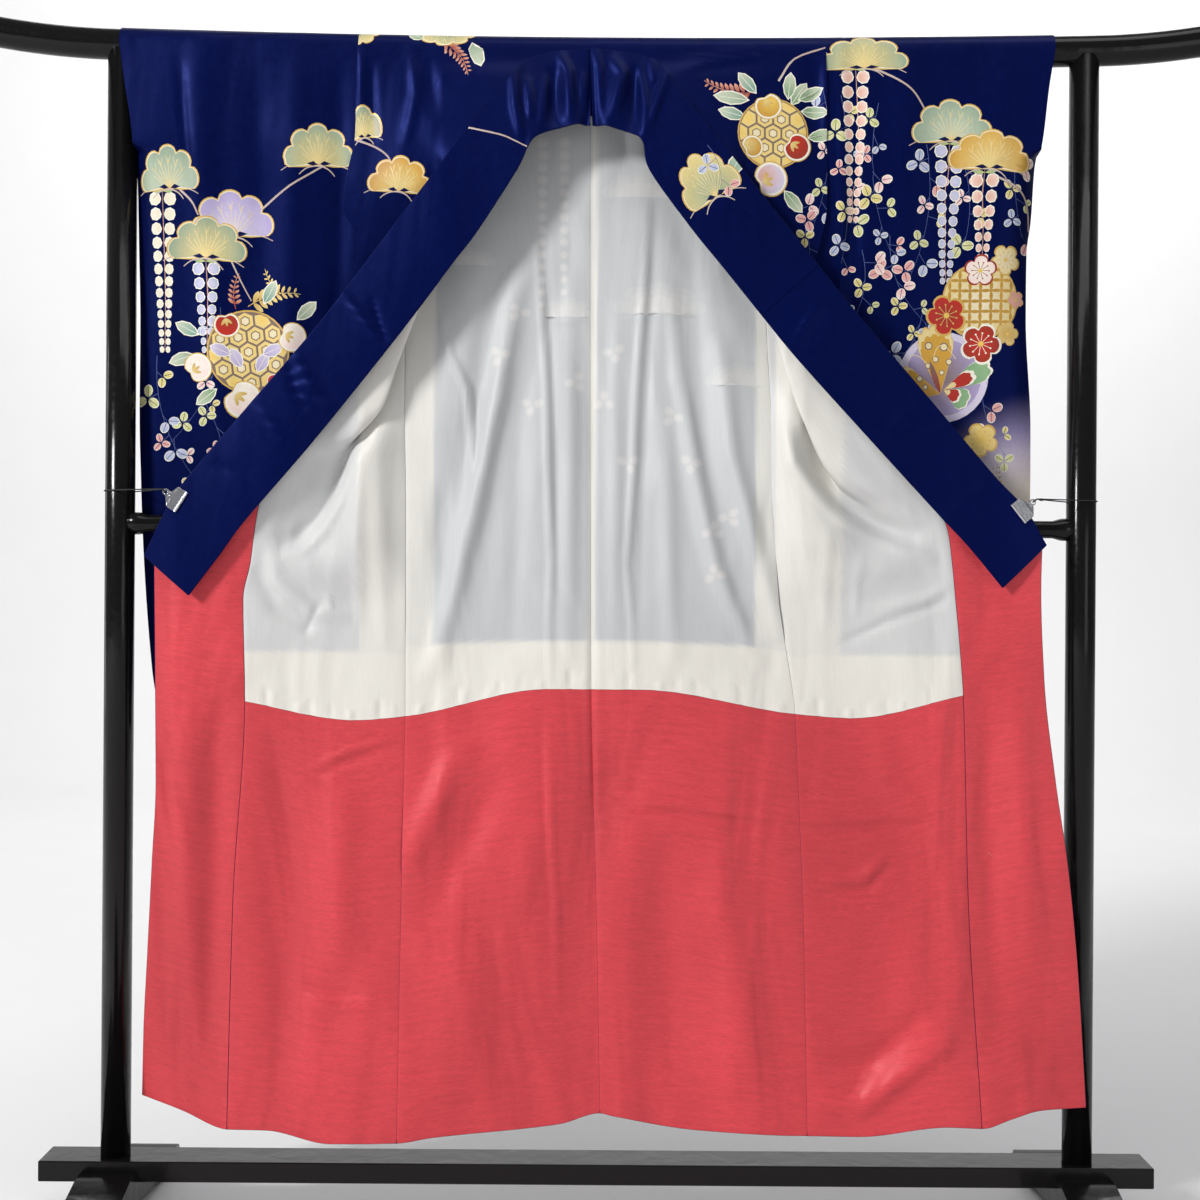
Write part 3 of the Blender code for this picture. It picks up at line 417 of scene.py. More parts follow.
class Front:
    """The curves of one front, from its table of sections."""

    def __init__(self, side):
        rows = FRONTS[side]
        self.stations = [
            tuple(curve_of([(row.z, row[column][axis]) for row in rows]) for axis in (0, 1))
            for column in range(1, 7)
        ]
        above, seam_y = self.stations[0]
        side_line = BACK_SIDE_LINES[side]
        self.stations[0] = (lambda level: above(level) if level > BACK_JOINED else side_line(level), seam_y)

    def point(self, across, level):
        x, y = through([(x(level), y(level)) for x, y in self.stations], across)
        return Vector((x, y, level_z(x, level)))


class Overlap:
    """The overlap panel between the front's edge and the collar or its own front edge."""

    def __init__(self, side):
        self.side = side
        self.front = FRONT_CURVES[side]
        sewn = [
            (level_of(row.sewn[0] * MM, row.sewn[1] * MM) / MM, row.sewn[0] - side * 1.5, row.sewn_y + 2.2)
            for row in COLLARS[side][5:-1]
        ]
        rows = sewn + OVERLAP_EDGES[side]
        self.edge_x = curve_of([(level, x) for level, x, _ in rows])
        self.edge_y = curve_of([(level, y) for level, _, y in rows])

    def point(self, across, level):
        seam = self.front.point(1.0, level)
        x = mix(seam.x + self.side * 2 * SEAM_GAP, self.edge_x(level), across)
        y = mix(seam.y, self.edge_y(level), across)
        return Vector((x, y, level_z(x, level)))


def back_ridge(x, level):
    """How far the soft upright folds of the back stand out towards the front."""
    rise = 0.0
    for fold in BACK_FOLDS:
        if fold.bottom * MM < level < fold.top * MM:
            share = sin(pi * (level / MM - fold.bottom) / (fold.top - fold.bottom))
            rise += fold.height * MM * share * exp(-(((x / MM - fold.x) / fold.half_width) ** 2))
    return rise


def back_point(side, across, level):
    """A point of the back, from the centre seam to the side seam."""
    x = mix(centre_seam(level), BACK_SIDE_LINES[side](level), across)
    return Vector((x, back_depth(level) - back_ridge(x, level), level_z(x, level)))


def over_bar_at(x, turn):
    angle = pi * turn
    centre_z = BAR_CENTRE_Z + bar_rise(x)
    return Vector((x, OVER_BAR_RADIUS * cos(angle), centre_z + OVER_BAR_RADIUS * sin(angle)))


def over_bar_point(side, across, turn):
    """A point on the cloth over the bar. turn runs from 0, behind it, to 1, in front."""
    x = mix(centre_seam(SHOULDER_Z), BACK_SIDE_LINES[side](SHOULDER_Z), across)
    return over_bar_at(x, turn)


class Collar:
    """One half of the collar, from the centre back to its lower end."""

    def __init__(self, side):
        rows = COLLARS[side]
        self.lines = [(*row.sewn, row.sewn_y, *row.free, row.free_y) for row in rows]
        self.spans = len(rows) - 1

    def point(self, along, across):
        sx, sz, sy, fx, fz, fy = (value * MM for value in through(self.lines, along))
        crown = 0.002 * sin(pi * across)
        gather = max(0.0, 1 - along * self.spans / GATHERED_SPANS)
        turns = COLLAR_GATHERS * along * self.spans / GATHERED_SPANS
        wave = COLLAR_GATHER_DEPTH * gather * sin(2 * pi * turns) * across
        return Vector((mix(sx, fx, across), mix(sy, fy, across) - crown + wave, mix(sz, fz, across)))


SLEEVE_TUCK = 0.018


def tucked(level):
    """How much of its tuck a sleeve has below the armhole, where it reaches in between the body's layers."""
    return min(max((ARMHOLE_END_Z - level) / 0.03, 0.0), 1.0) * min(max((level - 1.27) / 0.08, 0.0), 1.0)


class Sleeve:
    """One sleeve: a folded cloth over the bar, sewn at the outer edge below the cuff and at the bottom."""

    def __init__(self, side):
        rows = SLEEVES[side]
        self.side = side
        self.outer = curve_of([(row.z, row.outer_x) for row in rows])
        self.front_y = curve_of([(row.z, row.front_y) for row in rows])
        self.back_y = curve_of([(row.z, row.back_y) for row in rows])

    def place(self, across, level, back):
        """A point of the front or back layer. level runs down from the bar to the bottom."""
        front_x, front_seam_y = FRONT_CURVES[self.side].stations[0]
        inner = SLEEVE_INNER[self.side]
        if level > ARMHOLE_END_Z:
            inner = (BACK_SIDE_LINES[self.side] if back else front_x)(level) + self.side * 0.0002
        inner -= self.side * SLEEVE_TUCK * tucked(level)
        x = mix(inner, self.outer(level), across)
        corner = min(1.0, max(0.0, (across - 0.85) / 0.15))
        bottom = SLEEVE_BOTTOM_Z + SLEEVE_CORNER * (1 - (1 - corner**2) ** 0.5)
        drop = (SHOULDER_Z - level) / (SHOULDER_Z - SLEEVE_BOTTOM_Z)
        z = mix(SHOULDER_Z + bar_rise(x), bottom, drop)
        near, far = self.front_y(level), self.back_y(level)
        beside = max(0.0, 1 - across / 0.4)
        if back:
            layer = mix(far, back_depth(level), beside * min(1.0, max(0.0, (level - 1.44) / 0.09)))
        else:
            layer = mix(near, front_seam_y(level),
                        beside * min(1.0, max(0.0, (level - CUFF_END_Z) / 0.028)))
        open_share = 1.0
        if level < CUFF_END_Z and across > 1 - SLEEVE_ROLL:
            open_share = sin(pi / 2 * (1 - across) / SLEEVE_ROLL)
        if level <= SLEEVE_BOTTOM_Z:
            open_share = 0.0
        return Vector((x, mix((near + far) / 2, layer, open_share), z))

    def over_bar(self, across, turn):
        inner = BACK_SIDE_LINES[self.side](SHOULDER_Z) + self.side * 0.0002
        return over_bar_at(mix(inner, self.outer(SHOULDER_Z), across), turn)


SIDE_NAMES = {LEFT: "left", RIGHT: "right"}
FRONT_CURVES = {side: Front(side) for side in (LEFT, RIGHT)}
OVERLAP_CURVES = {side: Overlap(side) for side in (LEFT, RIGHT)}
COLLAR_CURVES = {side: Collar(side) for side in (LEFT, RIGHT)}
SLEEVE_CURVES = {side: Sleeve(side) for side in (LEFT, RIGHT)}


# How cloth is laid out as a grid, and how a dyed pattern is cut into it
STEP = 0.0055
OVER_BAR_ROWS = 12
EDGE_ROLL = (0.5, 1.0, 1.6, 2.2, 2.8)
SEAM_DIP = 0.0006
LINING_ROLL = 0.0006
OUTSIDE_REACH = 4


class Fold(NamedTuple):
    """A soft ridge, or a trough where its height is negative, along a line of (x, z) points."""
    path: tuple
    width: float
    height: float


class Run(NamedTuple):
    """Rows of a cloth that lie on one surface, with their folds and the pattern dyed into them."""
    rows: list
    towards: int = -1
    folds: tuple = ()
    art: object = None


class Dye(NamedTuple):
    """A patch's colour in its heart and at its rim, how far it covers the cloth, and its share of gold."""
    heart: tuple
    rim: tuple
    cover: float = 1.0
    gold: float = 0.0


class Patch(NamedTuple):
    """A dyed patch with its outline, and the place from which its colour spreads."""
    outline: list
    dye: Dye
    centre: tuple
    reach: float


def folded(points, folds, towards):
    """Points of a cloth moved out along Y by its folds."""
    x, z = points[..., 0] / MM, points[..., 2] / MM
    rise = np.zeros_like(x)
    for fold in folds:
        path = np.array(fold.path, float)
        lengths = np.hypot(*np.diff(path, axis=0).T)
        nearest, along, done = np.full(x.shape, 1e9), np.zeros_like(x), 0.0
        for start, end, length in zip(path, path[1:], lengths):
            ahead = (end - start) / length
            share = np.clip(((x - start[0]) * ahead[0] + (z - start[1]) * ahead[1]) / length, 0, 1)
            gap = np.hypot(x - start[0] - share * length * ahead[0],
                           z - start[1] - share * length * ahead[1])
            closer = gap < nearest
            nearest = np.where(closer, gap, nearest)
            along = np.where(closer, (done + share * length) / lengths.sum(), along)
            done += length
        rise += fold.height * np.exp(-((nearest / fold.width) ** 2)) * np.sin(pi * along) ** 0.7
    moved = points.copy()
    moved[..., 1] += towards * rise * MM
    return moved


def unit(vectors):
    return vectors / np.maximum(np.linalg.norm(vectors, axis=-1, keepdims=True), 1e-12)


def grid_normals(points, reverse):
    across, down = np.gradient(points, axis=1), np.gradient(points, axis=0)
    return unit(np.cross(across, down) if reverse else np.cross(down, across))


def rolled(points, normals, axis, at_end, radius, dip):
    """The grid with one edge drawn in by its seam and turned under in a small roll, away from its normals."""
    rows = np.moveaxis(points, axis, 0).copy()
    normal = np.moveaxis(normals, axis, 0)[-1 if at_end else 0]
    rows[-1 if at_end else 0] -= normal * dip
    edge, inner = (rows[-1], rows[-2]) if at_end else (rows[0], rows[1])
    out = unit(edge - inner)
    strips = [edge + radius * (out * sin(turn) - normal * (1 - cos(turn))) for turn in EDGE_ROLL]
    turned = np.stack(strips if at_end else strips[::-1])
    rows = np.concatenate([rows, turned] if at_end else [turned, rows])
    return np.moveaxis(rows, 0, axis)


def between(grid, spots):
    """Values of a grid at (column, row) spots that lie between its points."""
    column = np.clip(spots[:, 0], 0, grid.shape[1] - 1.000001)
    row = np.clip(spots[:, 1], 0, grid.shape[0] - 1.000001)
    i, r = column.astype(int), row.astype(int)
    a, b = (column - i)[:, None], (row - r)[:, None]
    upper = grid[r, i] * (1 - a) + grid[r, i + 1] * a
    lower = grid[r + 1, i] * (1 - a) + grid[r + 1, i + 1] * a
    return upper * (1 - b) + lower * b


def inside(outline, points):
    """Which points lie inside an outline, counted by how often it winds round them."""
    winds = np.zeros(len(points), int)
    x, y = points[:, 0], points[:, 1]
    for (a, b), (c, d) in zip(outline, outline[1:] + outline[:1]):
        side = (c - a) * (y - b) - (x - a) * (d - b)
        winds += (b <= y) & (d > y) & (side > 0)
        winds -= (b > y) & (d <= y) & (side < 0)
    return winds != 0


def spot_finder(zone):
    """The way from a place (x, z) in millimetres to its (column, row) spot in a zone of a grid."""
    flat = zone[..., (0, 2)] / MM
    across, down = np.gradient(flat, axis=1), np.gradient(flat, axis=0)

    def find(place):
        gap = flat - place
        r, i = divmod(int(np.argmin((gap * gap).sum(-1))), flat.shape[1])
        (a, c), (b, d) = across[r, i], down[r, i]
        x, z = -gap[r, i]
        size = a * d - b * c
        if abs(size) < 1e-9:
            return float(i), float(r)
        step_across, step_down = (x * d - z * b) / size, (z * a - x * c) / size
        return (i + min(max(step_across, -OUTSIDE_REACH), OUTSIDE_REACH),
                r + min(max(step_down, -OUTSIDE_REACH), OUTSIDE_REACH))

    return find


def cut_in(patches, zone):
    """Spots, triangles and the topmost patch of each, for a zone of a grid with the patches cut into it."""
    rows, columns = zone.shape[:2]
    find = spot_finder(zone)
    low_x, low_z = zone[..., 0].min() / MM, zone[..., 2].min() / MM
    high_x, high_z = zone[..., 0].max() / MM, zone[..., 2].max() / MM
    spots = [(i, r) for r in range(rows) for i in range(columns)]
    corner = (rows - 1) * columns
    edges = [(0, columns - 1), (columns - 1, corner + columns - 1), (corner + columns - 1, corner),
             (corner, 0)]
    shown = []
    for patch in patches:
        xs, zs = zip(*patch.outline)
        if max(xs) < low_x or min(xs) > high_x or max(zs) < low_z or min(zs) > high_z:
            continue
        outline = [find(place) for place in patch.outline]
        low, high = np.min(outline, axis=0), np.max(outline, axis=0)
        if high[0] < 0 or low[0] > columns - 1 or high[1] < 0 or low[1] > rows - 1:
            continue
        first, count = len(spots), len(outline)
        edges.extend((first + k, first + (k + 1) % count) for k in range(count))
        spots.extend(outline)
        shown.append((patch, outline, low, high))
    found, _, triangles, sources, _, _ = delaunay_2d_cdt([Vector(spot) for spot in spots], edges, [], 0,
                                                         0.0001)
    corners = np.array(triangles)
    middles = np.array([tuple(spot) for spot in found])[corners].mean(1)
    within = ((middles > 0) & (middles < (columns - 1, rows - 1))).all(1)
    corners, middles = corners[within], middles[within]
    tops = np.full(len(corners), -1)
    for k, (_, outline, low, high) in enumerate(shown):
        near = np.flatnonzero(((middles > low) & (middles < high)).all(1))
        tops[near[inside(outline, middles[near])]] = k
    return found, sources, corners.tolist(), tops.tolist(), [patch for patch, *_ in shown]


class Canvas:
    """A cloth's mesh in the making: its grid, its own triangles, and the dye in the corners of its faces."""

    def __init__(self, points, normals):
        self.rows, self.columns = points.shape[:2]
        self.points = [points.reshape(-1, 3)]
        self.normals = [normals.reshape(-1, 3)]
        spots = np.stack(np.meshgrid(np.arange(self.columns), np.arange(self.rows)), -1)
        self.spots = [spots.reshape(-1, 2).astype(float)]
        self.count = self.rows * self.columns
        self.faces = []
        self.dyes = []
        self.grid, self.grid_normals = points, normals

    def plain(self, first, last):
        """Four-sided faces for all the columns between two rows."""
        self.strip(first, last, 0, self.columns - 1)

    def strip(self, first, last, left, right):
        for r in range(first, last):
            for i in range(left, right):
                a = r * self.columns + i
                self.faces.append((a, a + self.columns, a + self.columns + 1, a + 1))
                self.dyes.append(None)

    def dyed(self, first, last, left, right, patches):
        """The rows between two, with patches cut in. The columns beyond left and right stay plain."""
        self.strip(first, last, 0, left)
        self.strip(first, last, right, self.columns - 1)
        zone = self.grid[first:last + 1, left:right + 1]
        found, sources, kept, tops, shown = cut_in(patches, zone)
        width = right - left + 1
        limit = width * (last - first + 1)
        names, extra = [], []
        for spot, source in zip(found, sources):
            known = [index for index in source if index < limit]
            if known:
                r, i = divmod(known[0], width)
                names.append((first + r) * self.columns + left + i)
            else:
                names.append(self.count + len(extra))
                extra.append((spot[0] + left, spot[1] + first))
        if extra:
            extra = np.array(extra)
            self.spots.append(extra)
            self.points.append(between(self.grid, extra))
            self.normals.append(unit(between(self.grid_normals, extra)))
            self.count += len(extra)
        for triangle, top in zip(kept, tops):
            a, b, c = (names[k] for k in triangle)
            self.faces.append((a, c, b))
            self.dyes.append(shown[top] if top >= 0 else None)

    def mesh(self, name, reverse, ground, chunks):
        """The finished mesh, with its dye, gold, flat places and map. ground colours the undyed cloth."""
        points, spots = np.concatenate(self.points), np.concatenate(self.spots)
        faces = [face[::-1] for face in self.faces] if reverse else self.faces
        made = bpy.data.meshes.new(name)
        made.from_pydata(points.tolist(), [], faces)
        corners = np.empty(len(made.loops), int)
        made.loops.foreach_get("vertex_index", corners)
        sizes = [len(face) for face in faces]
        own = np.repeat(np.array([dye is not None for dye in self.dyes]), sizes)
        places = points[corners][:, (0, 2)] / MM
        colours = np.zeros((len(corners), 4)) if ground is None else ground(places[:, 0], places[:, 1])
        gold = np.zeros(len(corners))
        if own.any():
            patches = [dye for dye in self.dyes if dye is not None]
            counts = [size for size, dye in zip(sizes, self.dyes) if dye is not None]

            def spread(values):
                return np.repeat(np.array(values, float), counts, axis=0)

            gap = np.hypot(*(places[own] - spread([p.centre for p in patches])).T)
            share = np.clip(gap / spread([p.reach for p in patches]), 0, 1)[:, None]
            heart, rim = spread([p.dye.heart for p in patches]), spread([p.dye.rim for p in patches])
            cover = spread([p.dye.cover for p in patches])[:, None]
            tint = heart * (1 - share) + rim * share
            under = colours[own]
            mixed = under[:, :3] * (1 - cover) + tint * cover
            colours[own, :3] = np.where(under[:, 3:] > 0, mixed, tint)
            colours[own, 3] = np.maximum(under[:, 3], cover[:, 0])
            gold[own] = spread([p.dye.gold for p in patches])
        made.attributes.new("dye", "FLOAT_COLOR", "CORNER").data.foreach_set("color", colours.ravel())
        made.attributes.new("gold", "FLOAT", "CORNER").data.foreach_set("value", gold)
        flat = np.zeros((len(spots), 3))
        flat[:, :2] = spots * STEP
        made.attributes.new("flat", "FLOAT_VECTOR", "POINT").data.foreach_set("vector", flat.ravel())
        self.map_out(made, spots, corners, sizes, chunks)
        made.shade_smooth()
        made.normals_split_custom_set_from_vertices(np.concatenate(self.normals).tolist())
        return made

    def map_out(self, made, spots, corners, sizes, chunks):
        """A map that lays the cloth out flat, cut into lengths that lie side by side."""
        ends = np.cumsum(sizes)
        starts = ends - np.array(sizes)
        middle = np.add.reduceat(spots[corners, 1], starts) / np.array(sizes)
        length = (self.rows - 1) / chunks
        chunk = np.repeat(np.clip((middle / length).astype(int), 0, chunks - 1), sizes)
        across = (spots[corners, 0] / (self.columns - 1) * 0.96 + 0.02 + chunk) / chunks
        along = (spots[corners, 1] / length - chunk) * 0.96 + 0.02
        layer = made.uv_layers.new(name="OFBake")
        layer.uv.foreach_set("vector", np.stack([across, along], -1).astype(np.float32).ravel())


def spaced(start, end, step):
    count = max(1, ceil(abs(end - start) / step))
    return [mix(start, end, i / count) for i in range(count + 1)]


def surface(place, columns, levels):
    return [[place(across, level) for across in columns] for level in levels]


def cloth(name, runs, finish, reverse, offset, rolls=(), roll=0.0009, ground=None, chunks=1, dip=0.0):
    """A cloth from its runs of rows, laid offset along its right side, with some edges rolled under.

    rolls names edges: "first" and "last" are columns, "start" and "finish" rows.
    """
    points = np.concatenate([folded(np.array(run.rows), run.folds, run.towards) for run in runs])
    normals = grid_normals(points, reverse)
    points = points + normals * offset
    for edge, axis, at_end in (("first", 1, False), ("last", 1, True), ("start", 0, False),
                               ("finish", 0, True)):
        if edge in rolls:
            points = rolled(points, normals, axis, at_end, roll, dip)
            normals = grid_normals(points, reverse)
    left = len(EDGE_ROLL) * ("first" in rolls)
    top = len(EDGE_ROLL) * ("start" in rolls)
    canvas = Canvas(points, normals)
    row = top
    canvas.plain(0, row)
    for run in runs:
        last = row + len(run.rows) - 1
        if run.art:
            canvas.dyed(row, last, left, left + len(run.rows[0]) - 1, run.art.patches)
        else:
            canvas.plain(row, last)
        row = last + 1
        if run is not runs[-1]:
            canvas.plain(last, row)
    canvas.plain(row - 1, canvas.rows - 1)
    return add_piece(name, canvas.mesh(name, reverse, ground, chunks), finish)


def add_piece(name, mesh, finish):
    made = bpy.data.objects.new(name, mesh)
    bpy.context.scene.collection.objects.link(made)
    if finish:
        mesh.materials.append(finish)
    return made


def tone(red, green, blue):
    """A colour from screen values, 0 to 255, for the shaders."""
    return tuple((value / 255 / 12.92) if value < 10.3 else ((value / 255 + 0.055) / 1.055) ** 2.4
                 for value in (red, green, blue))


CREAM, IVORY, GOLD = tone(236, 226, 196), tone(242, 238, 222), tone(206, 168, 88)
SAGE, PALE_SAGE, TEAL = tone(146, 166, 142), tone(204, 212, 186), tone(92, 146, 132)
OCHRE, STRAW, YELLOW = tone(204, 156, 62), tone(232, 210, 140), tone(238, 202, 104)
LAVENDER, LILAC, ICE = tone(176, 164, 204), tone(214, 206, 226), tone(170, 186, 210)
PINK, SHELL, SALMON = tone(232, 170, 172), tone(246, 222, 214), tone(222, 170, 144)
RUST, SCARLET, GREEN = tone(158, 62, 40), tone(196, 56, 40), tone(110, 150, 104)
LIME, TAUPE, INK = tone(196, 204, 122), tone(132, 112, 98), tone(24, 26, 66)

GOLD_LINE = Dye(tone(226, 194, 118), tone(214, 176, 92), 1.0, 0.25)
IVORY_LINE = Dye(IVORY, IVORY)
INK_LINE = Dye(INK, INK)
STEM_LINE = Dye(tone(92, 104, 150), tone(92, 104, 150))
BRANCH = Dye(tone(206, 190, 178), tone(188, 168, 156))
NEEDLE = Dye(STRAW, CREAM, 1.0, 0.2)
PALE_LINE = Dye(tone(240, 232, 206), tone(234, 222, 184))


class Spot(NamedTuple):
    """Where a motif stands on the cloth, which way it leans, and its size."""
    x: float
    z: float
    turn: float = 0.0
    size: float = 1.0
    mirror: int = 1

    def at(self, a, b):
        c, s = cos(self.turn), sin(self.turn)
        a = a * self.mirror * self.size
        b = b * self.size
        return (self.x + a * c - b * s, self.z + a * s + b * c)


class Art:
    """The patches dyed into a cloth, in the order they are laid down."""

    def __init__(self):
        self.patches = []

    def patch(self, spot, outline, dye, heart=(0, 0), reach=20.0):
        placed = [spot.at(a, b) for a, b in outline]
        self.patches.append(Patch(placed, dye, spot.at(*heart), reach * spot.size))

    def line(self, spot, path, width, dye, taper=1.0):
        """A line of an even or a tapering width."""
        left, right = [], []
        for i, (a, b) in enumerate(path):
            before, after = path[max(0, i - 1)], path[min(len(path) - 1, i + 1)]
            run, rise = after[0] - before[0], after[1] - before[1]
            length = max(hypot(run, rise), 1e-6)
            half = width / 2 * mix(1.0, taper, i / (len(path) - 1))
            left.append((a - rise / length * half, b + run / length * half))
            right.append((a + rise / length * half, b - run / length * half))
        self.patch(spot, left + right[::-1], dye, path[0], 50)


def disc(radius, count=16, a=0.0, b=0.0, flat=1.0):
    return [(a + radius * cos(2 * pi * i / count), b + radius * flat * sin(2 * pi * i / count))
            for i in range(count)]


def bow(start, end, bend, count=6):
    """Points on a bowed line."""
    (a, b), (c, d) = start, end
    points = []
    for i in range(count + 1):
        t = i / count
        swing = bend * 4 * t * (1 - t)
        points.append((mix(a, c, t) - (d - b) * swing, mix(b, d, t) + (c - a) * swing))
    return points


def scallops(half, height, lobes, inset):
    """The scalloped edge of a pine bough, rounded under at both sides, and set in by inset."""
    edge = []
    for i in range(lobes * 7 + 1):
        turn = mix(-0.16, pi + 0.16, i / (lobes * 7))
        reach = 0.84 + 0.16 * abs(sin(lobes * (turn + 0.16) * pi / (pi + 0.32))) ** 0.6
        edge.append(((half * reach - inset) * cos(turn),
                     (height * reach - inset) * sin(turn) + height * 0.10))
    return [*edge, (-half * 0.40, inset - height * 0.04), (0, height * 0.02 + inset),
            (half * 0.40, inset - height * 0.04)]


def pine(art, spot, half, height, rim, heart, lobes=5, twigs=True):
    """A pine bough: a scalloped cushion of needles that fan out of its stalk, with bare twigs under it."""
    if twigs:
        for side, reach, drop in ((-1, 1.06, 0.10), (1, 0.92, 0.16), (-1, 0.55, 0.22), (1, 0.42, 0.26)):
            art.line(spot, bow((0, 0), (side * half * reach, -height * drop), 0.12 * side), 2.6, BRANCH,
                     0.5)
    art.patch(spot, scallops(half, height, lobes, 0), GOLD_LINE, (0, 0), half)
    art.patch(spot, scallops(half, height, lobes, 2.0), PALE_LINE, (0, 0), half)
    art.patch(spot, scallops(half, height, lobes, 3.6), Dye(heart, rim), (0, height * 0.1),
              max(half, height) * 0.95)
    for i in range(11):
        turn = pi * (i + 2.5) / 15
        reach = 0.70 if i % 2 else 0.54
        tip = (half * reach * cos(turn), height * (reach * sin(turn) + 0.06))
        art.line(spot, [(tip[0] * 0.1, tip[1] * 0.1), tip], 1.1, NEEDLE, 0.6)
        if i % 2:
            for side in (-1, 1):
                end = (tip[0] + 4 * side * sin(turn) - 4 * cos(turn),
                       tip[1] - 4 * side * cos(turn) + 4 * sin(turn))
                art.line(spot, [(tip[0] * 0.8, tip[1] * 0.8), end], 0.9, NEEDLE, 0.6)
    for side in (-1, 1):
        slot = [(side * half * a, height * b) for a,
                b in ((0.03, 0.03), (0.16, 0.12), (0.34, 0.05), (0.16, 0.0))]
        art.patch(spot, slot, INK_LINE)


PETAL = [(0.06, 0.0), (0.22, 0.40), (0.58, 0.54), (0.93, 0.34), (1.0, -0.08), (0.84, -0.44), (0.44, -0.52),
         (0.16, -0.30)]


def wisteria(art, spot, length, pairs, width, rim, heart):
    """A hanging wisteria raceme: petals in pairs that shrink towards the tip."""
    art.line(spot, [(0, 6), (0, -length)], 1.2, Dye(TAUPE, SALMON), 0.5)
    steps_down = [0.0]
    for i in range(pairs):
        steps_down.append(steps_down[-1] + 1 - 0.55 * i / pairs)
    for i in range(pairs):
        share = (steps_down[i] + 0.5) / steps_down[-1]
        size = width / 2 * (1 - 0.62 * share)
        tall = (steps_down[i + 1] - steps_down[i]) / steps_down[-1] * length * 0.86
        for side in (-1, 1):
            for grown, dye in ((1.0, IVORY_LINE), (0.84, Dye(heart, rim))):
                petal = [(side * size * (0.56 + (a - 0.53) * grown), -length * share + tall * b * grown)
                         for a, b in PETAL]
                art.patch(spot, petal, dye, (side * size * 0.3, -length * share - 1), size * 0.9)
    for side in (-1, 1):
        art.patch(spot, [(0, 0), (side * 9, 5), (side * 18, 2), (side * 10, -3)], Dye(LIME, SAGE), (0, 0),
                  18)


def leaflet(length, width):
    return [(0, 0), (width * 0.7, length * 0.22), (width, length * 0.5), (width * 0.72, length * 0.8),
            (0, length),
            (-width * 0.72, length * 0.8), (-width, length * 0.5), (-width * 0.7, length * 0.22)]


def leaf(art, spot, length, width, dye, vein=IVORY_LINE):
    """A pointed leaf with a pale edge and its middle vein."""
    shape = leaflet(length, width)
    art.patch(spot, shape, vein)
    art.patch(spot, [(a * 0.84, length * 0.5 + (b - length * 0.5) * 0.90) for a, b in shape], dye, (0, 0),
              length)
    art.line(spot, [(0, 2), (0, length * 0.9)], 1.0, vein, 0.4)


def disc_leaf(length, width):
    """A blunt oval leaflet that starts at its stalk."""
    return [(width * sin(t), length * (0.5 - 0.5 * cos(t))) for t in steps(0, 2 * pi, 12)[:-1]]


def clover(art, spot, size, dye, count=3):
    """A bush clover leaf: round leaflets in a pair or a trio, each with a pale edge and its vein."""
    turns = (0.0, 2.1, -2.1) if count == 3 else (0.95, -0.95)
    for turn in turns:
        own = Spot(*spot.at(0, 0), spot.turn + turn, spot.size)
        for grown, colour in ((1.0, Dye(dye.rim, IVORY)), (0.84, dye)):
            shape = [(a * grown, size * 0.64 + (b - size * 0.5) * grown) for a,
                     b in disc_leaf(size, size * 0.40)]
            art.patch(own, shape, colour, (0, 0), size)
        art.line(own, [(0, size * 0.2), (0, size * 1.08)], 1.0, INK_LINE, 0.5)


CLOVER_DYES = [Dye(LIME, STRAW), Dye(LILAC, ICE), Dye(PINK, SHELL), Dye(CREAM, LIME), Dye(SALMON, PINK)]


def clover_spray(art, start, end, bend, count, size=17.0, first=0):
    """A thin bowed stem with bush clover leaves on short stalks to both sides."""
    here = Spot(0, 0)
    stem = bow(start, end, bend, 10)
    art.line(here, stem, 0.8, STEM_LINE, 0.5)
    size *= 1.22
    count = max(2, round(count * 0.72))
    for i in range(count):
        t = (i + 0.7) / count
        a, b = through(stem, min(t, 1.0))
        c, d = through(stem, max(0.0, t - 0.05))
        ahead = atan2(b - d, a - c)
        side = -1 if (i + first) % 2 else 1
        turn = ahead + side * (0.9 + 0.5 * sin(2.3 * i + first))
        reach = 11 + 7 * sin(1.7 * i + 2.1 * first) ** 2
        tip = (a + reach * cos(turn), b + reach * sin(turn))
        art.line(here, [(a, b), tip], 0.7, STEM_LINE)
        clover(art, Spot(*tip, turn - pi / 2 + 0.5 * sin(3.1 * i)),
               size * (0.86 + 0.2 * sin(1.3 * i + first)),
               CLOVER_DYES[(i * 3 + first) % 5], 2 + (i + first) % 2)


def fern(art, spot, length, pairs, dye):
    """A fern frond of paired slender leaflets."""
    stem = bow((0, 0), (0, length), 0.10, 8)
    art.line(spot, stem, 1.3, dye, 0.5)
    for i in range(pairs):
        t = (i + 1) / (pairs + 1)
        a, b = through(stem, t)
        size = length * 0.26 * (1 - 0.66 * t)
        for side in (-1, 1):
            own = Spot(*spot.at(a, b), spot.turn - side * 0.95, spot.size)
            art.patch(own, leaflet(size, size * 0.20), dye, (0, 0), size)


def orange(art, spot, radius, dye, marked=True):
    """A mandarin orange, dimpled at its stalk, with a gold and a pale edge and three marks from its calyx."""
    def fruit(size):
        return [(size * cos(t), size * (0.94 * sin(t) - 0.26 * exp(-((t - pi / 2) / 0.34) ** 2)))
                for t in steps(0, 2 * pi, 24)[:-1]]
    art.patch(spot, fruit(radius), GOLD_LINE)
    art.patch(spot, fruit(radius * 0.93), IVORY_LINE)
    art.patch(spot, fruit(radius * 0.80), dye, (radius * 0.3, radius * 0.3), radius * 1.1)
    if marked:
        for turn in (pi - 0.7, pi, pi + 0.7):
            own = Spot(*spot.at(0, radius * 0.48), spot.turn + turn, spot.size, spot.mirror)
            art.patch(own, leaflet(radius * 0.62, radius * 0.11), Dye(STRAW, GOLD), (0, 0), radius * 0.6)


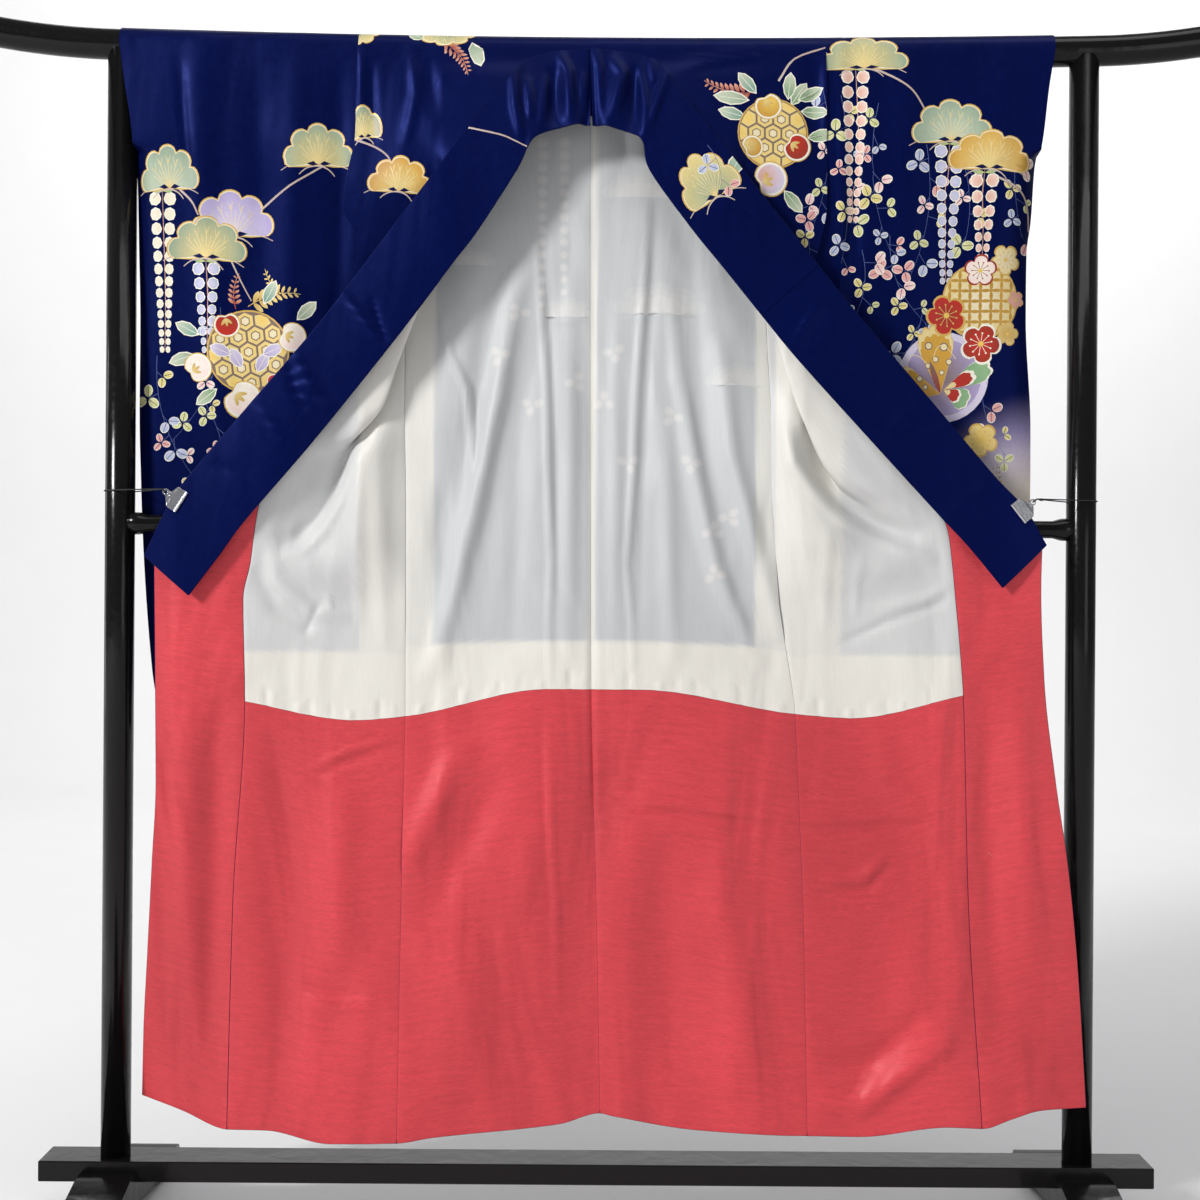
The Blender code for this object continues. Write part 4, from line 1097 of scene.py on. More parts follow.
def pulled_in(points, radius):
    """Points drawn in to lie no further than radius from the middle."""
    return [(a * min(1, radius / max(hypot(a, b), 1e-6)), b * min(1, radius / max(hypot(a, b), 1e-6)))
            for a, b in points]


def hexagon_ball(art, spot, radius, cell=15.0):
    """A temari ball in a tortoiseshell pattern of hexagons."""
    art.patch(spot, disc(radius, 32), GOLD_LINE)
    art.patch(spot, disc(radius * 0.96, 32), Dye(TAUPE, TAUPE))
    rows = int(radius / cell) + 1
    for row in range(-rows, rows + 1):
        for column in range(-rows, rows + 1):
            a = cell * 1.732 * (column + 0.5 * (row % 2))
            b = cell * 1.5 * row
            if hypot(a, b) > radius * 0.98:
                continue
            for share, dye in ((0.88, Dye(YELLOW, STRAW)), (0.52, Dye(TAUPE, TAUPE)),
                               (0.40, Dye(CREAM, STRAW))):
                shape = [(a + cell * share * sin(pi * k / 3),
                          b + cell * share * cos(pi * k / 3)) for k in range(6)]
                if hypot(a, b) > radius * 0.8 and share < 0.6:
                    continue
                art.patch(spot, pulled_in(shape, radius * 0.94), dye, (a, b), cell)


def linked_ring_ball(art, spot, radius, cell=15.0):
    """A temari ball in a pattern of linked rings."""
    art.patch(spot, disc(radius, 32), GOLD_LINE)
    art.patch(spot, disc(radius * 0.96, 32), Dye(CREAM, STRAW), (0, 0), radius)
    rows = int(radius / cell) + 1
    for row in range(-rows, rows + 1):
        for column in range(-rows, rows + 1):
            a, b = cell * (column + 0.5), cell * row
            for c, d, turn in ((a, b, 0.0), (a - cell / 2, b + cell / 2, pi / 2)):
                if hypot(c, d) > radius * 0.9:
                    continue
                lens = [(cell * 0.5 * cos(k), cell * 0.17 * sin(k)) for k in (0, 0.7, 1.57, 2.44, 3.14,
                                                                              3.84, 4.71, 5.58)]
                lens = [(c + p * cos(turn) - q * sin(turn), d + p * sin(turn) + q * cos(turn)) for p,
                        q in lens]
                art.patch(spot, pulled_in(lens, radius * 0.95), Dye(OCHRE, GOLD, 1.0, 0.5), (c, d), cell)


def plum(art, spot, radius, rim, heart, edge=GOLD_LINE):
    """A plum blossom of five round petals with its stamens."""
    def blossom(size):
        return [(size * (0.70 + 0.30 * abs(sin(2.5 * t)) ** 0.6) * cos(t),
                 size * (0.70 + 0.30 * abs(sin(2.5 * t)) ** 0.6) * sin(t)) for t in steps(0, 2 * pi,
                                                                                          35)[:-1]]
    art.patch(spot, blossom(radius), edge)
    art.patch(spot, blossom(radius * 0.88), Dye(heart, rim), (0, 0), radius)
    for i in range(10):
        turn = 2 * pi * (i + 0.5) / 10
        tip = (radius * 0.50 * cos(turn), radius * 0.50 * sin(turn))
        art.line(spot, [(tip[0] * 0.3, tip[1] * 0.3), tip], 0.8, edge)
        art.patch(spot, disc(radius * 0.05, 5, *tip), edge)
    art.patch(spot, disc(radius * 0.14, 8), Dye(YELLOW, OCHRE))


def wing(length, width, waves):
    """A butterfly's wing from its root, rounded and scalloped at its far end."""
    points = [(0, 0)]
    for i in range(waves * 4 + 1):
        t = i / (waves * 4)
        turn = mix(-1.15, 1.15, t)
        wave = 1 - 0.05 * (1 - abs(sin(pi * waves * t)))
        points.append((width * (0.55 + 0.45 * cos(turn) ** 2) * sin(turn) * wave * 1.1,
                       length * (0.42 + 0.58 * cos(turn)) * wave))
    return points


def winged(art, spot, length, width, waves, layers):
    """One wing of a butterfly, laid down in layers of (share, dye)."""
    for share, dye in layers:
        shape = [(a * share, length * 0.04 * (1 - share) + b * share) for a,
                 b in wing(length, width, waves)]
        art.patch(spot, shape, dye, (0, 0), length)


def butterfly(art, spot, size):
    """A butterfly with two spotted upper wings, two bright lower wings and curled feelers."""
    gilt = ((1.0, GOLD_LINE), (0.975, Dye(CREAM, STRAW)), (0.86, Dye(OCHRE, tone(214, 166, 62))))
    for turn, length in ((1.0, 0.80), (-0.22, 1.0)):
        own = Spot(*spot.at(0, 0), spot.turn + turn, spot.size, spot.mirror)
        winged(art, own, size * length, size * 0.42, 7, gilt)
        for a, b, radius in ((-0.10, 0.70, 0.06), (0.12, 0.66, 0.065), (-0.02, 0.50, 0.05),
                             (0.17, 0.44, 0.05),
                             (-0.14, 0.42, 0.045), (0.05, 0.30, 0.04)):
            place = (a * size * length, b * size * length)
            art.patch(own, disc(size * radius, 10, *place), Dye(tone(150, 112, 40), TAUPE), place,
                      size * radius)
            art.patch(own, disc(size * radius * 0.72, 10, *place), Dye(STRAW, CREAM), place, size * radius)
    for turn, length in ((-2.35, 0.42), (-1.45, 0.78)):
        own = Spot(*spot.at(size * 0.05, size * 0.04), spot.turn + turn, spot.size, spot.mirror)
        winged(art, own, size * length, size * 0.25, 4,
               ((1.0, IVORY_LINE), (0.95, Dye(GREEN, tone(150, 186, 140))), (0.66, IVORY_LINE),
                (0.58, Dye(SCARLET, RUST)),
                (0.24, Dye(STRAW, CREAM))))
    art.patch(spot, leaflet(size * 0.5, size * 0.045), Dye(RUST, TAUPE), (0, 0), size * 0.5)
    for side in (-1, 1):
        feeler = [(side * size * (0.05 + 0.30 * t - 0.10 * max(0.0, t - 0.7)),
                   size * (0.48 + 0.62 * t - 0.55 * t * t))
                  for t in steps(0, 1.25, 10)]
        art.line(spot, feeler, 1.4, NEEDLE, 0.6)


def branch(art, path, width=3.2):
    """A pine branch that runs through points, laid over a wider dark line that edges it."""
    here = Spot(0, 0)
    line = [through(path, t) for t in steps(0, 1, 4 * (len(path) - 1))]
    art.line(here, line, width + 0.9, INK_LINE, 0.7)
    art.line(here, line, width, BRANCH, 0.7)


def sleeve_front_left():
    art = Art()
    clover_spray(art, (-560, 1330), (-640, 1130), 0.12, 9, 14, 1)
    clover_spray(art, (-470, 1300), (-400, 1180), -0.15, 6, 13, 2)
    clover_spray(art, (-590, 1200), (-560, 1060), 0.10, 7, 13, 3)
    clover_spray(art, (-480, 1230), (-520, 1090), 0.12, 7, 14, 4)
    clover_spray(art, (-655, 1260), (-600, 1080), -0.10, 8, 14, 0)
    clover_spray(art, (-420, 1220), (-440, 1100), 0.10, 5, 13, 5)
    branch(art, [(-618, 1500), (-600, 1482), (-590, 1462)])
    branch(art, [(-512, 1462), (-466, 1498), (-424, 1524), (-396, 1540)])
    branch(art, [(-544, 1398), (-530, 1368), (-515, 1340)], 2.4)
    wisteria(art, Spot(-643, 1497), 228, 14, 40, IVORY, CREAM)
    wisteria(art, Spot(-580, 1396), 128, 8, 42, ICE, LILAC)
    fern(art, Spot(-538, 1328, -0.1), 52, 6, Dye(RUST, SALMON))
    fern(art, Spot(-520, 1332, -1.35), 80, 8, Dye(GOLD, STRAW, 1.0, 0.5))
    fern(art, Spot(-470, 1350, 0.6), 44, 5, Dye(GOLD, STRAW, 1.0, 0.5))
    pine(art, Spot(-632, 1500, 0.04), 46, 58, SAGE, PALE_SAGE)
    pine(art, Spot(-540, 1432, 0.08), 62, 62, LAVENDER, LILAC)
    pine(art, Spot(-580, 1400, -0.05), 60, 56, SAGE, STRAW)
    pine(art, Spot(-414, 1534, 0.03), 52, 56, SAGE, STRAW)
    for a, b, turn, dye in ((-592, 1290, 1.1, TEAL), (-497, 1335, -0.5, TEAL), (-430, 1262, -1.5, GREEN),
                            (-496, 1192, -2.2, TEAL), (-566, 1212, 2.2, GREEN), (-600, 1262, 1.9, SAGE),
                            (-448, 1312, -0.8, SAGE), (-462, 1220, -2.0, GREEN)):
        leaf(art, Spot(a, b, turn), 40, 10, Dye(dye, PALE_SAGE))
    hexagon_ball(art, Spot(-520, 1266, 0.1), 61)
    for a, b, turn in ((-530, 1242, 0.5), (-508, 1236, -0.5), (-500, 1262, -1.2), (-545, 1262, 1.2)):
        leaf(art, Spot(a, b, turn), 34, 10, Dye(LAVENDER, LILAC))
    orange(art, Spot(-551, 1305, 0.2), 20, Dye(RUST, SCARLET))
    orange(art, Spot(-455, 1287, 1.2), 22, Dye(IVORY, SHELL))
    orange(art, Spot(-594, 1243, 2.2), 22, Dye(IVORY, SHELL))
    orange(art, Spot(-529, 1196, 0.9), 29, Dye(IVORY, SHELL))
    orange(art, Spot(-483, 1224, 2.9), 11, Dye(RUST, SCARLET))
    return art


def body_front_left():
    art = Art()
    fern(art, Spot(-232, 1716, 3.75), 62, 8, Dye(RUST, SALMON))
    leaf(art, Spot(-192, 1716, 3.5), 40, 11, Dye(SAGE, PALE_SAGE))
    pine(art, Spot(-232, 1738, 3.1), 46, 26, STRAW, SAGE)
    leaf(art, Spot(-262, 1722, 1.2), 26, 8, Dye(GREEN, PALE_SAGE))
    pine(art, Spot(-360, 1742, 3.1), 34, 30, STRAW, SAGE)
    branch(art, [(-362, 1572), (-332, 1560), (-312, 1545), (-300, 1520)])
    pine(art, Spot(-346, 1574, 0.1), 28, 44, SAGE, STRAW, 3)
    pine(art, Spot(-296, 1494, -0.08), 48, 48, OCHRE, STRAW)
    return art


def body_front_right():
    art = Art()
    clover_spray(art, (270, 1490), (300, 1380), 0.12, 6, 13, 2)
    clover_spray(art, (318, 1650), (306, 1450), 0.08, 10, 13, 1)
    clover_spray(art, (240, 1480), (262, 1420), -0.15, 3, 12, 4)
    fern(art, Spot(220, 1642, 1.35), 76, 9, Dye(RUST, SALMON))
    leaf(art, Spot(212, 1630, 1.45), 54, 11, Dye(SAGE, PALE_SAGE))
    branch(art, [(254, 1660), (278, 1694), (326, 1712)])
    for a, b, turn in ((272, 1624, -0.6), (282, 1632, -1.1), (268, 1632, -0.1), (286, 1616, -1.6),
                       (222, 1640, 0.7),
                       (206, 1604, 1.3), (262, 1500, -2.4), (296, 1578, -1.4)):
        leaf(art, Spot(a, b, turn), 42, 10, Dye(GREEN if a > 250 else TEAL, PALE_SAGE))
    hexagon_ball(art, Spot(246, 1582), 52, 14)
    orange(art, Spot(239, 1622, 0.4), 21, Dye(YELLOW, OCHRE))
    orange(art, Spot(281, 1563, 1.0), 22, Dye(SCARLET, RUST))
    orange(art, Spot(216, 1562, 2.0), 17, Dye(STRAW, OCHRE))
    orange(art, Spot(243, 1516, 2.0), 26, Dye(SALMON, LILAC))
    return art


def sleeve_front_right():
    art = Art()
    for start, end, bend, count, first in (
            ((345, 1640), (350, 1400), 0.05, 12, 0), ((400, 1630), (420, 1420), -0.08, 11, 3),
            ((470, 1570), (450, 1380), 0.08, 10, 1), ((520, 1560), (530, 1430), 0.08, 6, 4),
            ((600, 1560), (615, 1440), -0.05, 7, 2), ((470, 1330), (400, 1240), 0.15, 7, 5),
            ((420, 1440), (480, 1310), -0.12, 8, 6), ((560, 1240), (600, 1120), -0.1, 7, 1),
            ((480, 1200), (520, 1080), 0.12, 7, 2), ((380, 1420), (370, 1320), 0.1, 5, 2)):
        clover_spray(art, start, end, bend, count, 13.5, first)
    branch(art, [(320, 1706), (332, 1694), (345, 1680)])
    branch(art, [(393, 1681), (428, 1664), (452, 1645), (472, 1612)])
    branch(art, [(568, 1527), (606, 1508), (622, 1486), (627, 1450)])
    wisteria(art, Spot(366, 1679), 215, 13, 42, SHELL, SALMON)
    wisteria(art, Spot(504, 1572), 196, 12, 45, ICE, LILAC)
    wisteria(art, Spot(556, 1531), 122, 7, 42, SHELL, SALMON)
    pine(art, Spot(379, 1680, 0.02), 66, 46, SAGE, STRAW)
    pine(art, Spot(507, 1576, 0.05), 60, 56, SAGE, PALE_SAGE)
    pine(art, Spot(562, 1536, -0.06), 62, 52, OCHRE, STRAW)
    linked_ring_ball(art, Spot(555, 1347), 56)
    art.patch(Spot(503, 1236), disc(66, 32), Dye(LAVENDER, LILAC), (0, 0), 60)
    art.patch(Spot(503, 1236), disc(56, 32), Dye(TAUPE, LAVENDER), (0, 0), 60)
    butterfly(art, Spot(500, 1212, 0.35), 102)
    plum(art, Spot(590, 1406, 0.3), 23, STRAW, CREAM)
    plum(art, Spot(554, 1391, 0.9), 24, SHELL, IVORY, Dye(RUST, RUST))
    plum(art, Spot(608, 1350, 0.2), 14, SALMON, PINK)
    plum(art, Spot(596, 1300, 0.7), 18, STRAW, OCHRE)
    plum(art, Spot(506, 1326, 0.1), 31, SCARLET, RUST)
    plum(art, Spot(557, 1285, 0.5), 31, RUST, SCARLET, IVORY_LINE)
    plum(art, Spot(561, 1145, 0.2), 26, STRAW, YELLOW)
    fern(art, Spot(600, 1040, 0.2), 70, 8, Dye(CREAM, TAUPE))
    fern(art, Spot(575, 1030, -0.3), 60, 7, Dye(STRAW, GOLD, 1.0, 0.5))
    return art


def hem_and_back(side, top):
    """The pattern on the outside of the back and the skirt, seen from behind."""
    art = Art()
    for i in range(7):
        x = side * (60 + 95 * i)
        clover_spray(art, (x, 560), (x + 40 * side, 400), 0.1 * (-1) ** i, 8, 15, i)
    for x, z, size, kind in ((90, 470, 1.2, 0), (250, 540, 1.0, 1), (420, 450, 1.2, 0), (590, 520, 1.0, 1)):
        if kind:
            wisteria(art, Spot(side * x, z), 200, 12, 44, SHELL, SALMON)
            pine(art, Spot(side * x, z), 60, 58, PALE_SAGE, SAGE)
        else:
            hexagon_ball(art, Spot(side * x, z - 120), 60 * size)
            orange(art, Spot(side * (x + 40), z - 80, 0.4), 26, Dye(IVORY, SHELL))
            plum(art, Spot(side * (x - 45), z - 90, 0.3), 30, RUST, SCARLET, IVORY_LINE)
            plum(art, Spot(side * (x + 20), z - 170, 0.9), 28, SHELL, IVORY)
            pine(art, Spot(side * x, z), 66, 62, STRAW, OCHRE)
    for i in range(6):
        x = side * (70 + 110 * i)
        pine(art, Spot(x, 215 + 18 * sin(2 * i), 0.05), 62, 52, PALE_SAGE if i % 2 else LILAC,
             SAGE if i % 2 else LAVENDER)
        plum(art, Spot(x + 48 * side, 262 + 12 * cos(i), i), 24, STRAW, OCHRE)
    if top:
        branch(art, [(side * 20, 1600), (side * 90, 1580), (side * 160, 1606), (side * 250, 1570)])
        clover_spray(art, (side * 120, 1540), (side * 80, 1380), 0.1, 9, 14, 2)
        clover_spray(art, (side * 250, 1560), (side * 230, 1420), -0.1, 8, 14, 4)
        wisteria(art, Spot(side * (60 if side == LEFT else 170), 1590), 200, 12, 44, SHELL, SALMON)
        pine(art, Spot(side * (100 if side == LEFT else 150), 1580), 62, 60, STRAW, OCHRE)
        pine(art, Spot(side * (215 if side == LEFT else 262), 1600), 58, 56, PALE_SAGE, SAGE)
        plum(art, Spot(side * (160 if side == LEFT else 90), 1500, 0.4), 28, RUST, SCARLET, IVORY_LINE)
    return art


def sleeve_rear(side):
    """The pattern on the rear of a sleeve: the same plants in another order."""
    art = Art()
    for i, (start, end) in enumerate((((430, 1500), (400, 1330)), ((520, 1420), (560, 1250)),
                                      ((600, 1500), (590, 1340)),
                                      ((440, 1200), (500, 1060)), ((560, 1150), (600, 1000)))):
        clover_spray(art, (side * start[0], start[1]), (side * end[0], end[1]), 0.1 * (-1) ** i, 9, 14, i)
    branch(art, [(side * 380, 1600), (side * 450, 1580), (side * 520, 1610), (side * 600, 1580)])
    wisteria(art, Spot(side * 420, 1560), 220, 13, 44, SHELL, SALMON)
    wisteria(art, Spot(side * 590, 1560), 150, 9, 42, ICE, LILAC)
    pine(art, Spot(side * 430, 1560), 60, 58, PALE_SAGE, SAGE)
    pine(art, Spot(side * 530, 1596), 54, 52, STRAW, OCHRE)
    pine(art, Spot(side * 585, 1552), 48, 50, LILAC, LAVENDER)
    hexagon_ball(art, Spot(side * 500, 1300), 60)
    orange(art, Spot(side * 460, 1330), 24, Dye(IVORY, SHELL))
    orange(art, Spot(side * 548, 1280), 22, Dye(SCARLET, RUST))
    plum(art, Spot(side * 520, 1236, 0.4), 30, SHELL, IVORY)
    plum(art, Spot(side * 470, 1262, 0.4), 26, STRAW, OCHRE)
    return art


# Finishes
def node(tree, kind, inputs=None, **settings):
    """A shader node with its settings and inputs. An input that is a socket is linked."""
    made = tree.nodes.new(kind)
    for name, value in settings.items():
        setattr(made, name, value)
    for name, value in (inputs or {}).items():
        if isinstance(value, bpy.types.NodeSocket):
            tree.links.new(value, made.inputs[name])
        else:
            made.inputs[name].default_value = value
    return made


def group(name, inputs, outputs):
    """A new node group with float or other typed sockets, its input node and its output node."""
    tree = bpy.data.node_groups.new(name, "ShaderNodeTree")
    for socket, kind in inputs:
        tree.interface.new_socket(socket, in_out="INPUT", socket_type=kind)
    for socket, kind in outputs:
        tree.interface.new_socket(socket, in_out="OUTPUT", socket_type=kind)
    return tree, tree.nodes.new("NodeGroupInput"), tree.nodes.new("NodeGroupOutput")


def use(tree, name, inputs):
    made = tree.nodes.new("ShaderNodeGroup")
    made.node_tree = bpy.data.node_groups[name]
    for socket, value in inputs.items():
        if isinstance(value, bpy.types.NodeSocket):
            tree.links.new(value, made.inputs[socket])
        else:
            made.inputs[socket].default_value = value
    return made


FLOAT, VECTOR = "NodeSocketFloat", "NodeSocketVector"


def crepe_group():
    """Crepe silk: fine uneven crinkles, longer across the cloth than along it."""
    tree, given, out = group("Crepe", [("Vector", VECTOR), ("Grain", FLOAT), ("Stretch", FLOAT)],
                             [("Height", FLOAT), ("Shade", FLOAT)])
    size = node(tree, "ShaderNodeCombineXYZ", {0: 1.0, 1: given.outputs["Stretch"], 2: 1.0})
    place = node(tree, "ShaderNodeVectorMath", {0: given.outputs["Vector"], 1: size.outputs[0]},
                 operation="MULTIPLY")
    fine = node(tree, "ShaderNodeTexNoise", {"Vector": place.outputs[0], "Scale": given.outputs["Grain"],
                                             "Detail": 2.0, "Roughness": 0.6})
    coarse_grain = node(tree, "ShaderNodeMath", {0: given.outputs["Grain"], 1: 0.22}, operation="MULTIPLY")
    coarse = node(tree, "ShaderNodeTexNoise", {"Vector": place.outputs[0], "Scale": coarse_grain.outputs[0],
                                               "Detail": 3.0, "Roughness": 0.65})
    mixed = node(tree, "ShaderNodeMath", {0: coarse.outputs[0], 1: 0.6, 2: fine.outputs[0]},
                 operation="MULTIPLY_ADD")
    tree.links.new(mixed.outputs[0], out.inputs["Height"])
    tree.links.new(coarse.outputs[0], out.inputs["Shade"])


def drift_group():
    """Slow unevenness of hanging cloth: shallow swells that run down it."""
    tree, given, out = group("Drift", [("Vector", VECTOR), ("Scale", FLOAT)], [("Height", FLOAT)])
    place = node(tree, "ShaderNodeVectorMath", {0: given.outputs["Vector"], 1: (1.0, 1.0, 0.32)},
                 operation="MULTIPLY")
    swell = node(tree, "ShaderNodeTexNoise", {"Vector": place.outputs[0], "Scale": given.outputs["Scale"],
                                              "Detail": 2.5, "Roughness": 0.45, "Distortion": 0.6})
    tree.links.new(swell.outputs[0], out.inputs["Height"])


def blank_material(name):
    made = bpy.data.materials.new(name)
    made.use_nodes = True
    made.node_tree.nodes.clear()
    return made, made.node_tree


def finish_with(tree, shader):
    out = tree.nodes.new("ShaderNodeOutputMaterial")
    tree.links.new(shader.outputs[0], out.inputs["Surface"])


def relief(tree, layers):
    """Bump nodes one on another, from (height, distance, strength)."""
    normal = None
    for height, distance, strength in layers:
        inputs = {"Height": height, "Distance": distance, "Strength": strength}
        if normal:
            inputs["Normal"] = normal
        normal = node(tree, "ShaderNodeBump", inputs).outputs[0]
    return normal


def silk_material(name, ground, deep, grain, stretch, rough, shine, tint, crinkle, swell, shade, swell_shade):
    """A silk whose dye and gold come from the cloth itself, on a ground that varies a little, with painted
    shade in the low parts of its slow swells and painted light on their crests.
    """
    made, tree = blank_material(name)
    dye = node(tree, "ShaderNodeAttribute", attribute_name="dye")
    gold = node(tree, "ShaderNodeAttribute", attribute_name="gold")
    flat = node(tree, "ShaderNodeAttribute", attribute_name="flat")
    where = node(tree, "ShaderNodeTexCoord")
    crepe = use(tree, "Crepe", {"Vector": flat.outputs["Vector"], "Grain": grain, "Stretch": stretch})
    drift = use(tree, "Drift", {"Vector": where.outputs["Object"], "Scale": 7.0})
    base = node(tree, "ShaderNodeMix", {0: crepe.outputs["Shade"], 6: (*deep, 1), 7: (*ground, 1)},
                data_type="RGBA")
    dyed = node(tree, "ShaderNodeMix",
                {0: dye.outputs["Alpha"], 6: base.outputs[2], 7: dye.outputs["Color"]},
                data_type="RGBA")
    grey = node(tree, "ShaderNodeMapRange",
                {"Value": crepe.outputs["Height"], 3: 1.0 - shade, 4: 1.0 + shade,
                                             1: 0.45, 2: 1.15})
    # Painted shade and light: the ground is darkened where the drift swells are low and lightened on their
    # crests, the same swells that the bump raises.
    painted_swell_shade = node(tree, "ShaderNodeMapRange",
                {"Value": drift.outputs["Height"], 3: 1.0 - swell_shade, 4: 1.0 + swell_shade * 0.5,
                                             1: 0.30, 2: 0.70})
    both = node(tree, "ShaderNodeMath", {0: grey.outputs[0], 1: painted_swell_shade.outputs[0]}, operation="MULTIPLY")
    # The dyed colour times the crepe grain's own uneven tone and the painted swell shade.
    grain_and_swell_shade = node(tree, "ShaderNodeMix", {0: 1.0, 6: dyed.outputs[2], 7: both.outputs[0]}, data_type="RGBA",
                blend_type="MULTIPLY")
    gloss = node(tree, "ShaderNodeMapRange",
                 {"Value": crepe.outputs["Shade"], 1: 0.3, 2: 0.7, 3: rough - 0.05,
                                              4: rough + 0.07})
    leafed = node(tree, "ShaderNodeMath", {0: gold.outputs["Fac"], 1: 0.8}, operation="MULTIPLY")
    normal = relief(tree, [(drift.outputs["Height"], swell, 1.0), (crepe.outputs["Height"], crinkle, 0.8)])
    shader = node(tree, "ShaderNodeBsdfPrincipled", {
        "Base Color": grain_and_swell_shade.outputs[2], "Roughness": gloss.outputs[0], "Metallic": leafed.outputs[0],
        "Normal": normal, "Specular IOR Level": shine, "Specular Tint": (*tint, 1)})
    finish_with(tree, shader)
    return made


def lacquer_material(looks):
    made, tree = blank_material("black_lacquer")
    where = node(tree, "ShaderNodeTexCoord")
    drift = use(tree, "Drift", {"Vector": where.outputs["Object"], "Scale": 22.0})
    dust = node(tree, "ShaderNodeTexNoise",
                {"Vector": where.outputs["Object"], "Scale": 160.0, "Detail": 4.0})
    gloss = node(tree, "ShaderNodeMapRange", {"Value": dust.outputs[0], 1: 0.35, 2: 0.75,
                                              3: looks.lacquer_roughness,
                                              4: looks.lacquer_roughness + 0.10})
    deep = tuple(looks.lacquer_colour)
    base = node(tree, "ShaderNodeMix",
                {0: dust.outputs[0], 6: (*deep, 1), 7: (*(c * 1.8 for c in deep), 1)},
                data_type="RGBA")
    normal = relief(tree, [(drift.outputs["Height"], 0.0012, 1.0)])
    shader = node(tree, "ShaderNodeBsdfPrincipled", {
        "Base Color": base.outputs[2], "Roughness": gloss.outputs[0], "Normal": normal, "IOR": 1.32,
        "Specular IOR Level": 0.5})
    finish_with(tree, shader)
    return made


def chrome_material():
    made, tree = blank_material("chrome")
    where = node(tree, "ShaderNodeTexCoord")
    scratch = node(tree, "ShaderNodeTexNoise",
                   {"Vector": where.outputs["Object"], "Scale": 900.0, "Detail": 3.0})
    gloss = node(tree, "ShaderNodeMapRange",
                 {"Value": scratch.outputs[0], 1: 0.3, 2: 0.8, 3: 0.10, 4: 0.30})
    base = node(tree, "ShaderNodeMix",
                {0: scratch.outputs[0], 6: (0.62, 0.63, 0.66, 1), 7: (0.86, 0.87, 0.9, 1)},
                data_type="RGBA")
    shader = node(tree, "ShaderNodeBsdfPrincipled", {
        "Base Color": base.outputs[2], "Roughness": gloss.outputs[0], "Metallic": 1.0})
    finish_with(tree, shader)
    return made


def elastic_material():
    made, tree = blank_material("black_elastic")
    where = node(tree, "ShaderNodeTexCoord")
    braid = node(tree, "ShaderNodeTexWave",
                 {"Vector": where.outputs["Object"], "Scale": 420.0, "Distortion": 1.5},
                 bands_direction="DIAGONAL")
    base = node(tree, "ShaderNodeMix",
                {0: braid.outputs["Fac"], 6: (0.006, 0.006, 0.007, 1), 7: (0.03, 0.03, 0.033, 1)},
                data_type="RGBA")
    normal = relief(tree, [(braid.outputs["Fac"], 0.0002, 1.0)])
    shader = node(tree, "ShaderNodeBsdfPrincipled", {
        "Base Color": base.outputs[2], "Roughness": 0.75, "Normal": normal})
    finish_with(tree, shader)
    return made


def stage_material(colour):
    made, tree = blank_material("studio_paper")
    where = node(tree, "ShaderNodeTexCoord")
    grain = node(tree, "ShaderNodeTexNoise",
                 {"Vector": where.outputs["Object"], "Scale": 3.0, "Detail": 2.0})
    base = node(tree, "ShaderNodeMix",
                {0: grain.outputs[0], 6: (*(c * 0.97 for c in colour), 1), 7: (*colour, 1)},
                data_type="RGBA")
    shader = node(tree, "ShaderNodeBsdfPrincipled", {"Base Color": base.outputs[2], "Roughness": 0.9})
    finish_with(tree, shader)
    return made


FINISHES = {}


def make_finishes():
    looks = bpy.context.scene.kimono_looks
    crepe_group()
    drift_group()
    blue = tuple(looks.silk_colour)
    white, red = tuple(looks.upper_lining_colour), tuple(looks.lower_lining_colour)
    # The last number of each silk is the strength of its painted swell shade and light.
    FINISHES["silk"] = silk_material("blue_silk", blue, tuple(c * 0.72 for c in blue), 600, 0.6, 0.40, 0.26,
                                     (0.09, 0.17, 1.0), 0.00012, 0.010, 0.10, 0.14)
    FINISHES["white"] = silk_material("white_lining", white, tuple(c * 0.90 for c in white), 300, 0.08,
                                      0.50, 0.38,
                                      (1, 1, 1), 0.00010, 0.024, 0.04, 0.07)
    FINISHES["red"] = silk_material("red_lining", red, tuple(c * 0.90 for c in red), 85, 8.0, 0.42, 0.60,
                                    (1.0, 0.50, 0.52), 0.00024, 0.026, 0.17, 0.16)
    FINISHES["lacquer"] = lacquer_material(looks)
    FINISHES["chrome"] = chrome_material()
    FINISHES["elastic"] = elastic_material()


# Pieces
BODY_ACROSS = spaced(SEAM_GAP / 0.3, 1 - SEAM_GAP / 0.3, 0.0165)
OVERLAP_ACROSS = spaced(0.003, 0.997, 0.04)
SLEEVE_ACROSS = spaced(0.0, 1.0, 0.0165)
COLLAR_ACROSS = spaced(0.0, 1.0, 0.04)
SILK_FACE = 0.0010
LINING_FACE = 0.0013

# Levels that part the rows with a pattern from the plain ones
BODY_PATTERN_END_Z = 1.40
SKIRT_PATTERN_TOP_Z = 0.62
SLEEVE_PATTERN_END_Z = 1.02

# The pale cloud on the right sleeve: its centre and reach in x and z, and how far its full colour goes
CLOUD_CENTRE = (640, 1035)
CLOUD_REACH = (100, 105)
CLOUD_CORE = 1.75
CLOUD_COVER = 0.9

# Where the search for the linings' join starts, its rounds, and how far apart the gathers stand
JOINT_START_Z = 0.745
JOINT_ROUNDS = 4
PUCKER_SPACING = 17


def dress(made, node_name):
    """Sets a cloth on the body of its solid, in its place, and hides that solid."""
    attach(made, "root")
    if node_name:
        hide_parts(node_name)
    return made


def levels_between(top, bottom):
    return spaced(top, bottom, STEP)


